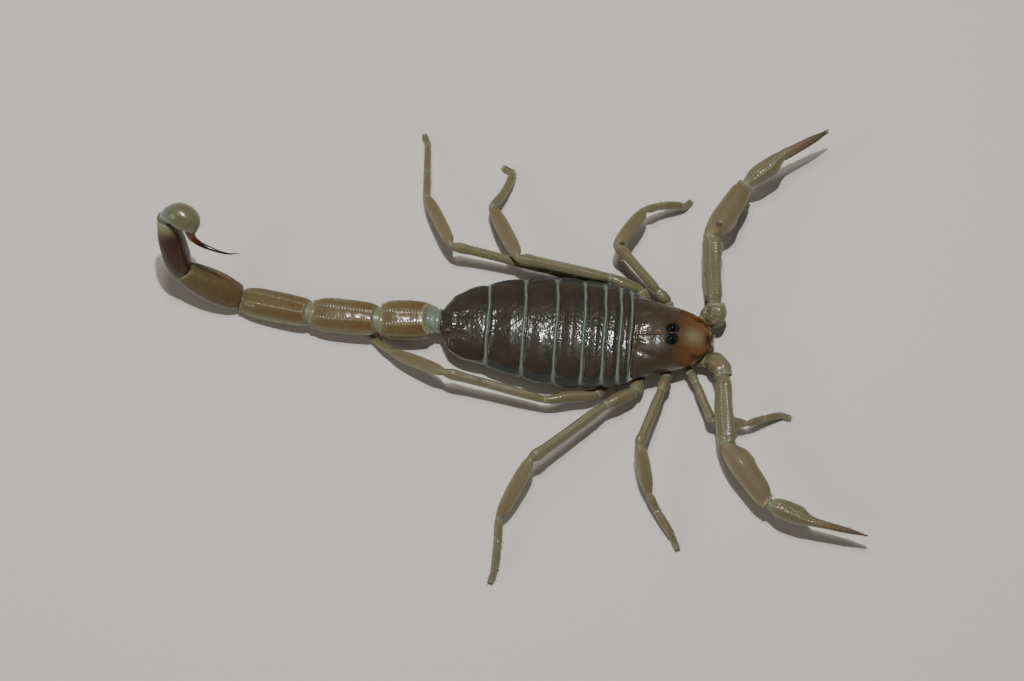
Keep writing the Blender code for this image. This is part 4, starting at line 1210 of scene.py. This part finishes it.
def tail():
    """Five tail segments, the vesicle and the curved sting."""
    lines, near = [], np.array((-15.8, -0.5, 2.5))
    for k in range(5):
        line = limb_line(f"metasoma_{k + 1}", 16, near, up=unit(np.array(TAIL_DORSAL[k])), fill=TAIL_FILL)
        near = line.middles[-1]
        lines.append(line)
    for k, line in enumerate(lines):
        def brown(s, angle, line=line, k=k):
            upper = ramp(np.sin(angle), -0.2, 0.5)
            return TAIL_BROWN[k] * (bump(s / line.length, 0.22, 0.22) * (0.3 + 0.7 * upper) + 0.15)

        def shadow(s, angle, line=line, k=k):
            return TAIL_PAINTED_SHADE[k] * (1 - (ramp(s / line.length, 0.72, 0.9) if k == 4 else 0.0))

        def open_end(s, angle, line=line, k=k):
            depth = NOTCHES[k] * ramp(np.sin(angle), 0.05, 1.0) + 0.02
            front = (1 - ramp(s, depth, depth + 0.12)) * ramp(np.sin(angle), 0.1, 0.3)
            rear = 0.9 * ramp(s / line.length, 0.80, 0.98) if k == 4 else 0.0
            return front * (0.95 if k == 0 else 0.3) + rear

        def leaf(t, angle, line=line, k=k):
            notch = (NOTCHES[k] * ramp(np.sin(angle), 0.05, 1.0) + 0.02) / line.length
            opened = (1 - ramp(t, 0.5 * notch, notch)) * ramp(np.sin(angle), 0.1, 0.4)
            climb = TAIL_CLIMB[k] * (0.4 - ramp(t, 0.12, 0.80)) * ramp(np.sin(angle), 0.3, 0.9)
            return (1 + TAIL_SWELL[k] * bump(t, 0.38, 0.28) - climb - TAIL_TAPER[k] * ramp(t, 0.55, 1.0)
                    - (0.50 if k == 0 else 0.25) * opened)

        work = Work()
        add_shell(work, line, 0.0, line.length, around=128, count=150, flare=0.05, rows=TAIL_KEELS[k],
                  row_height=KEEL_HEIGHTS[k], row_paint=KEEL_PALE_AND_SHEEN[k], width=5.0, pitch=0.24, power=2.25,
                  seed=200 + k, amber=brown, dark=shadow, pale=open_end, form=leaf, lip=0.06,
                  edges=(0, 180) if k < 3 else (), edge_height=0.03, edge_paint=20.0, rim_paint=0.6,
                  neck=0.0, knobs=0.02, tuck=0.3, head_reach=0.97)
        work.make(f"metasoma_{k + 1}_shell", TAIL, "tail_shell", f"metasoma_{k + 1}")
        plant(line, 0.4, 0.3, 18 + 4 * k, 0.5, 300 + k)

    bulb = limb_line("vesicle", 14, near, up=np.array((0.0, 0.958, 0.287)))
    sting = limb_line("aculeus", 8, bulb.middles[-1], up=np.array((0.0, 0.3, 1.0)))
    sting.middles[:, 0] -= 0.22 * (1 - ramp(sting.knots, 0.0, 1.6))
    work = Work()
    rows = [(0.0, 0.0), (0.02, 0.6), (0.05, 0.92), (0.10, 1.0)]
    rows += [(0.10 + (bulb.length - 0.12) * t, 1.0) for t in np.linspace(0.02, 1, 60)]
    rows += [(bulb.length + 0.02, 0.92), (bulb.length + 0.04, 0.6), (bulb.length + 0.05, 0.0)]
    points, faces, s, angle = swept(
        bulb, rows, 72, lambda d, a: 1 + 0.012 * relief(np.stack([d, np.cos(a), np.sin(a)], -1), 0.6, 77))
    t = s / bulb.length
    work.add(points, faces, pale=0.9 * (1 - ramp(t, 0.05, 0.5)), amber=0.4 * ramp(t, 0.9, 1.0))
    work.make("vesicle_shell", VESICLE, "vesicle", "vesicle")
    plant(bulb, 0.5, 0.2, 26, 0.45, 320)

    at = np.linspace(0, 1, 70)
    radius = curve((0.0, 0.10, 0.25, 0.5, 0.75, 1.0), (0.44, 0.33, 0.23, 0.15, 0.085, 0.022), at)
    reach = radius / sting.at(at * sting.length)[4]
    rows = [(-0.45, 0.0), (-0.40, reach[0] * 0.9), (-0.20, reach[0] * 1.05)]
    rows += [(sting.length * t, size) for t, size in zip(at, reach)]
    rows += [(sting.length + 0.06, 0.0)]
    work = Work()
    points, faces, s, angle = swept(sting, rows, 28)
    t = s / sting.length
    work.add(points, faces, amber=0.8 * (1 - ramp(t, 0.0, 0.35)), dark=0.15 + 0.85 * ramp(t, 0.15, 0.5))
    work.make("aculeus_point", STING, "sting", "aculeus")

    work = Work()
    for before, after in zip(lines, lines[1:]):
        add_bridge(work, before, after, reach=0.92, depth=0.55, around=64)
    add_bridge(work, lines[-1], bulb, reach=0.95, depth=0.4, around=64)
    work.make("tail_joints", JOINT, "tail_shell")


# ---- Mouthparts and underside ------------------------------------------------------------


def chelicera(side):
    """Short jaw: a swollen base, a fixed finger and a hinged finger, both toothed."""
    sign = 1.0 if side == "left" else -1.0
    line = limb_line(f"chelicera_{side}", 10, np.array((5.0, 0.6, 1.96)))
    work = Work()
    rows = round_rows(0.0, line.length * 0.74, 30)
    points, faces, s, _ = swept(line, rows, 36)
    work.add(points, faces, amber=0.5 * ramp(s / line.length, 0.4, 0.9))
    tip, sideways, _, ahead, wide, _ = line.at_one(line.length * 0.60)
    for lift, turn, length in ((0.0, 0.5, 0.34), (-0.16, 1.0, 0.36)):
        root = tip + UP * lift - sideways * wide * 0.2 * turn * sign
        add_claw(work, root, ahead - UP * 0.9, -sideways * 0.25 * sign, length, 0.14, droop=-0.1,
                 dark=0.6, amber=1.0)
        for k in range(3):
            spot = root + ahead * length * (0.35 + 0.18 * k) + UP * 0.04
            ball(work, spot, (0.035, 0.035, 0.06), axis=(0.3, 0, 1), count=8, around=8, dark=0.8, amber=1.0)
    work.make(f"chelicera_{side}_jaw", LIMB, "limb_shell", f"chelicera_{side}")


def sternite(number):
    """One belly plate with a pair of slit-shaped breathing openings."""
    k = number - 1
    front, rear = BANDS[k] - 0.12, (BANDS[k + 1] + 0.14 if number < 7 else TRUNK[0, 0] + 0.9)
    v, u = eased(44), np.linspace(-1, 1, 100)
    x = front - (front - rear) * v
    d = np.minimum(x - rear, front - x)
    corner = 0.4
    half = trunk_section(x)[1]
    reach = (half * 0.80 - corner_cut(d, corner)) / half
    edge_angle = np.arccos(np.clip(reach, 0, 0.999))
    turn = 1.5 * math.pi + (math.pi / 2 - edge_angle[:, None]) * u[None, :]
    base = trunk_point(x[:, None] + 0 * u[None, :], turn, -0.02)
    across = base[..., 1] - trunk_section(base[..., 0])[0]
    vv = np.broadcast_to(v[:, None], across.shape)
    slit = sum(np.exp(-((across - sign * half[:, None] * 0.42) / 0.34) ** 2 - ((vv - 0.62) / 0.05) ** 2)
               for sign in (-1, 1)) if number < 7 else 0.0 * across
    lift = 0.03 * bump(vv, 0.93, 0.06) + 0.008 * relief(base, 0.4, number + 60) - 0.09 * slit
    run, side = np.gradient(base, axis=0), np.gradient(base, axis=1)
    normal = unit(np.cross(run, side))
    normal = np.where(normal[..., 2:] > 0, -normal, normal)
    edge = edge_distance(base)
    full = rounded(edge, 0.07)
    outer = base + normal * (full * (0.05 + lift))[..., None]
    inner = base - normal * (full * 0.05)[..., None]
    points, faces = plate_mesh(outer, inner)
    work = Work()
    work.add(points, faces, pale=with_under(0.6 * bump(edge, 0, 0.06)), dark=with_under(0.9 * slit))
    work.make(f"sternite_{number}", UNDER, "underside")


def underplates():
    """Sternum, the two halves of the genital plate and the base of the combs."""
    work = Work()
    z = box_of("sternum")[0][2] + 0.12
    for x, y, size in ((0.9, 0.0, (0.50, 0.62, 0.16)), (-0.35, 0.42, (0.46, 0.44, 0.15)),
                       (-0.35, -0.42, (0.46, 0.44, 0.15)), (-1.35, 0.0, (0.36, 0.80, 0.15))):
        spine = 0.12 + 0.1 * max(x, 0)
        ball(work, (x, spine + y, z + 0.1), size, count=16, around=32)
    work.make("underside_plates", UNDER, "underside")


COMB_TEETH = 9
COMB_RUN, COMB_TURN = math.radians(42), math.radians(48)   # slant of the comb, and of its teeth


def pecten(side):
    """Comb: three jointed rods in front, a row of beads, and rounded teeth behind."""
    sign = 1.0 if side == "left" else -1.0
    low, high = box_of(f"pecten_{side}")
    run = np.array((-math.cos(COMB_RUN), sign * math.sin(COMB_RUN), 0.0))
    rear = np.array((-math.cos(COMB_TURN), -sign * math.sin(COMB_TURN), 0.0))
    length, level = 2.9, (low[2] + high[2]) / 2
    root = np.array((-2.85, trunk_section(-2.85)[0] + sign * 0.75, level))
    work = Work()
    for k in range(3):
        a = root + run * length * (k / 3 + 0.01) + rear * 0.16
        b = root + run * length * ((k + 1) / 3 - 0.01) + rear * 0.16
        line = path_line([a, (a + b) / 2, b], [0.17, 0.18, 0.16], flat=0.8)
        add_swept(work, line, round_rows(0, line.length, 14), 16)
    for k in range(COMB_TEETH):
        place = root + run * length * (k + 0.5) / COMB_TEETH
        taper = 0.78 + 0.22 * (1 - k / COMB_TEETH)
        ball(work, place + rear * 0.36, (0.10, 0.12, 0.10), count=10, around=12)
        a, b = place + rear * 0.34, place + rear * 0.95 * taper
        line = path_line([a, (a + b) / 2, b], [0.12, 0.14, 0.12], flat=0.8)
        add_swept(work, line, round_rows(0, line.length, 12), 14, pale=0.3)
    work.make(f"pecten_{side}_comb", UNDER, "underside", f"pecten_{side}")


# ---- Setae -------------------------------------------------------------------------------

HAIR_RADIUS = 0.013            # radius of a seta at its root


def setae():
    """Sparse stiff setae on the legs, pedipalps and tail, leaning towards the tips."""
    columns = math.ceil(math.sqrt(len(HAIRS)))
    work = Work()
    for cell, (line, start, end, count, length, seed) in enumerate(HAIRS):
        rng = np.random.default_rng(seed)
        corner = np.array((cell % columns, cell // columns), float)
        s, angle = rng.uniform(start, end, count), rng.uniform(0, 2 * math.pi, count)
        size = length * rng.uniform(0.55, 1.15, count)
        points, out = line.spot(s, angle, 0.97)
        _, _, _, ahead, _, _ = line.at(s)
        lean = unit(out * 0.85 + ahead * 0.65 + rng.normal(0, 0.12, (count, 3)))
        for k in range(count):
            bend = ahead[k] * size[k] * 0.22
            path = [points[k], points[k] + lean[k] * size[k] * 0.5, points[k] + lean[k] * size[k] + bend]
            if min(p[2] for p in path) < 0.03:
                continue
            halves = [HAIR_RADIUS, HAIR_RADIUS * 0.8, HAIR_RADIUS * 0.25]
            line_k = path_line(path, halves, up=unit(ahead[k] + 0.01))
            rows = [(0, 0), (0, 1), (line_k.length * 0.5, 1), (line_k.length * 0.98, 1), (line_k.length, 0)]
            place = (corner + 0.1 + 0.8 * np.array((s[k] / line.length, angle[k] / (2 * math.pi)))) / columns
            add_swept(work, line_k, rows, 5, patch=tuple(place))
    work.make("setae", SETA, "limb_shell")


# ---- Studio ------------------------------------------------------------------------------

VIEW_AZIMUTH = math.radians(8.0)
VIEW_ELEVATION = math.radians(75.0)
VIEW_DISTANCE = 231.3                  # from the lens to the target
VIEW_LENS = 100.0
VIEW_TARGET = (-0.704, 0.067, 0.0)     # from the middle of the solids' box, on the floor


FLOOR_SIZE = 0.45                      # metres from the middle of the floor to its edge
FLOOR_TONE = (0.62, 0.58, 0.53, 1.0)
# lamp: place from the middle of the box, its size in millimetres, its power in watts, its colour
LAMPS = (("key_softbox", (-20.0, 50.0, 250.0), 40.0, 0.16, (1.0, 0.98, 0.95)),
         ("lens_lamp", (0.0, 26.0, 250.0), 7.0, 0.50, (0.93, 0.97, 1.0)),
         ("side_fill", (-220.0, -120.0, 160.0), 120.0, 0.14, (1.0, 0.97, 0.94)))


def stand_at(name, data, place, back):
    """Object of the studio at a place in metres, facing away from a direction."""
    thing = bpy.data.objects.new(name, data)
    thing.location = place
    thing.rotation_mode = "QUATERNION"
    thing.rotation_quaternion = Vector(-np.array(back)).to_track_quat("-Z", "Y")
    bpy.context.scene.collection.objects.link(thing)
    return thing


def studio():
    """Pale floor, soft light with one small bright lamp near the lens, and the camera."""
    low, high = CAD_BOX
    middle = np.array(((low[0] + high[0]) / 2, (low[1] + high[1]) / 2, 0.0)) / MM
    target = middle + np.array(VIEW_TARGET)
    back = np.array((math.sin(VIEW_AZIMUTH) * math.cos(VIEW_ELEVATION),
                     -math.cos(VIEW_AZIMUTH) * math.cos(VIEW_ELEVATION), math.sin(VIEW_ELEVATION)))
    camera = stand_at("camera", bpy.data.cameras.new("camera"), (target + back * VIEW_DISTANCE) * MM, back)
    camera.data.lens, camera.data.sensor_width = VIEW_LENS, 36.0
    camera.data.clip_start, camera.data.clip_end = 0.005, 50.0
    bpy.context.scene.camera = camera

    mesh = bpy.data.meshes.new("floor")
    corners = [(-1, -1, 0), (1, -1, 0), (1, 1, 0), (-1, 1, 0)]
    mesh.from_pydata([(x * FLOOR_SIZE, y * FLOOR_SIZE, z) for x, y, z in corners], [], [(0, 1, 2, 3)])
    material = bpy.data.materials.new("pale_floor")
    material.use_nodes = True
    shader = material.node_tree.nodes["Principled BSDF"]
    shader.inputs["Base Color"].default_value = FLOOR_TONE
    shader.inputs["Roughness"].default_value = 0.9
    shader.inputs["Specular IOR Level"].default_value = 0.1
    mesh.materials.append(material)
    floor = bpy.data.objects.new("floor", mesh)
    bpy.context.scene.collection.objects.link(floor)

    world = bpy.data.worlds.new("studio")
    bpy.context.scene.world = world
    world.use_nodes = True
    tree = world.node_tree
    place = put(tree, "ShaderNodeTexCoord")
    split = put(tree, "ShaderNodeSeparateXYZ", {"Vector": place.outputs["Generated"]})
    rise = put(tree, "ShaderNodeMapRange", {"Value": split.outputs["Z"], "From Min": 0.0, "From Max": 0.7,
                                            "To Min": 0.42, "To Max": 0.05})
    background = tree.nodes["Background"]
    background.inputs["Color"].default_value = (1.0, 0.985, 0.96, 1.0)
    tree.links.new(rise.outputs["Result"], background.inputs["Strength"])

    for name, place, size, power, colour in LAMPS:
        lamp = bpy.data.lights.new(name, "AREA")
        lamp.shape = "DISK"
        lamp.size = size * MM
        lamp.energy = power
        lamp.color = colour
        stand_at(name, lamp, (middle + np.array(place)) * MM, place)


body_skin()
for plate_number in range(1, 8):
    tergite(plate_number)
carapace()
eyes()
for body_side in SIDES:
    chelicera(body_side)
    pedipalp(body_side)
    pecten(body_side)
    for leg_number in LEGS:
        leg(body_side, leg_number)
for plate_number in range(3, 8):
    sternite(plate_number)
underplates()
tail()
setae()
studio()
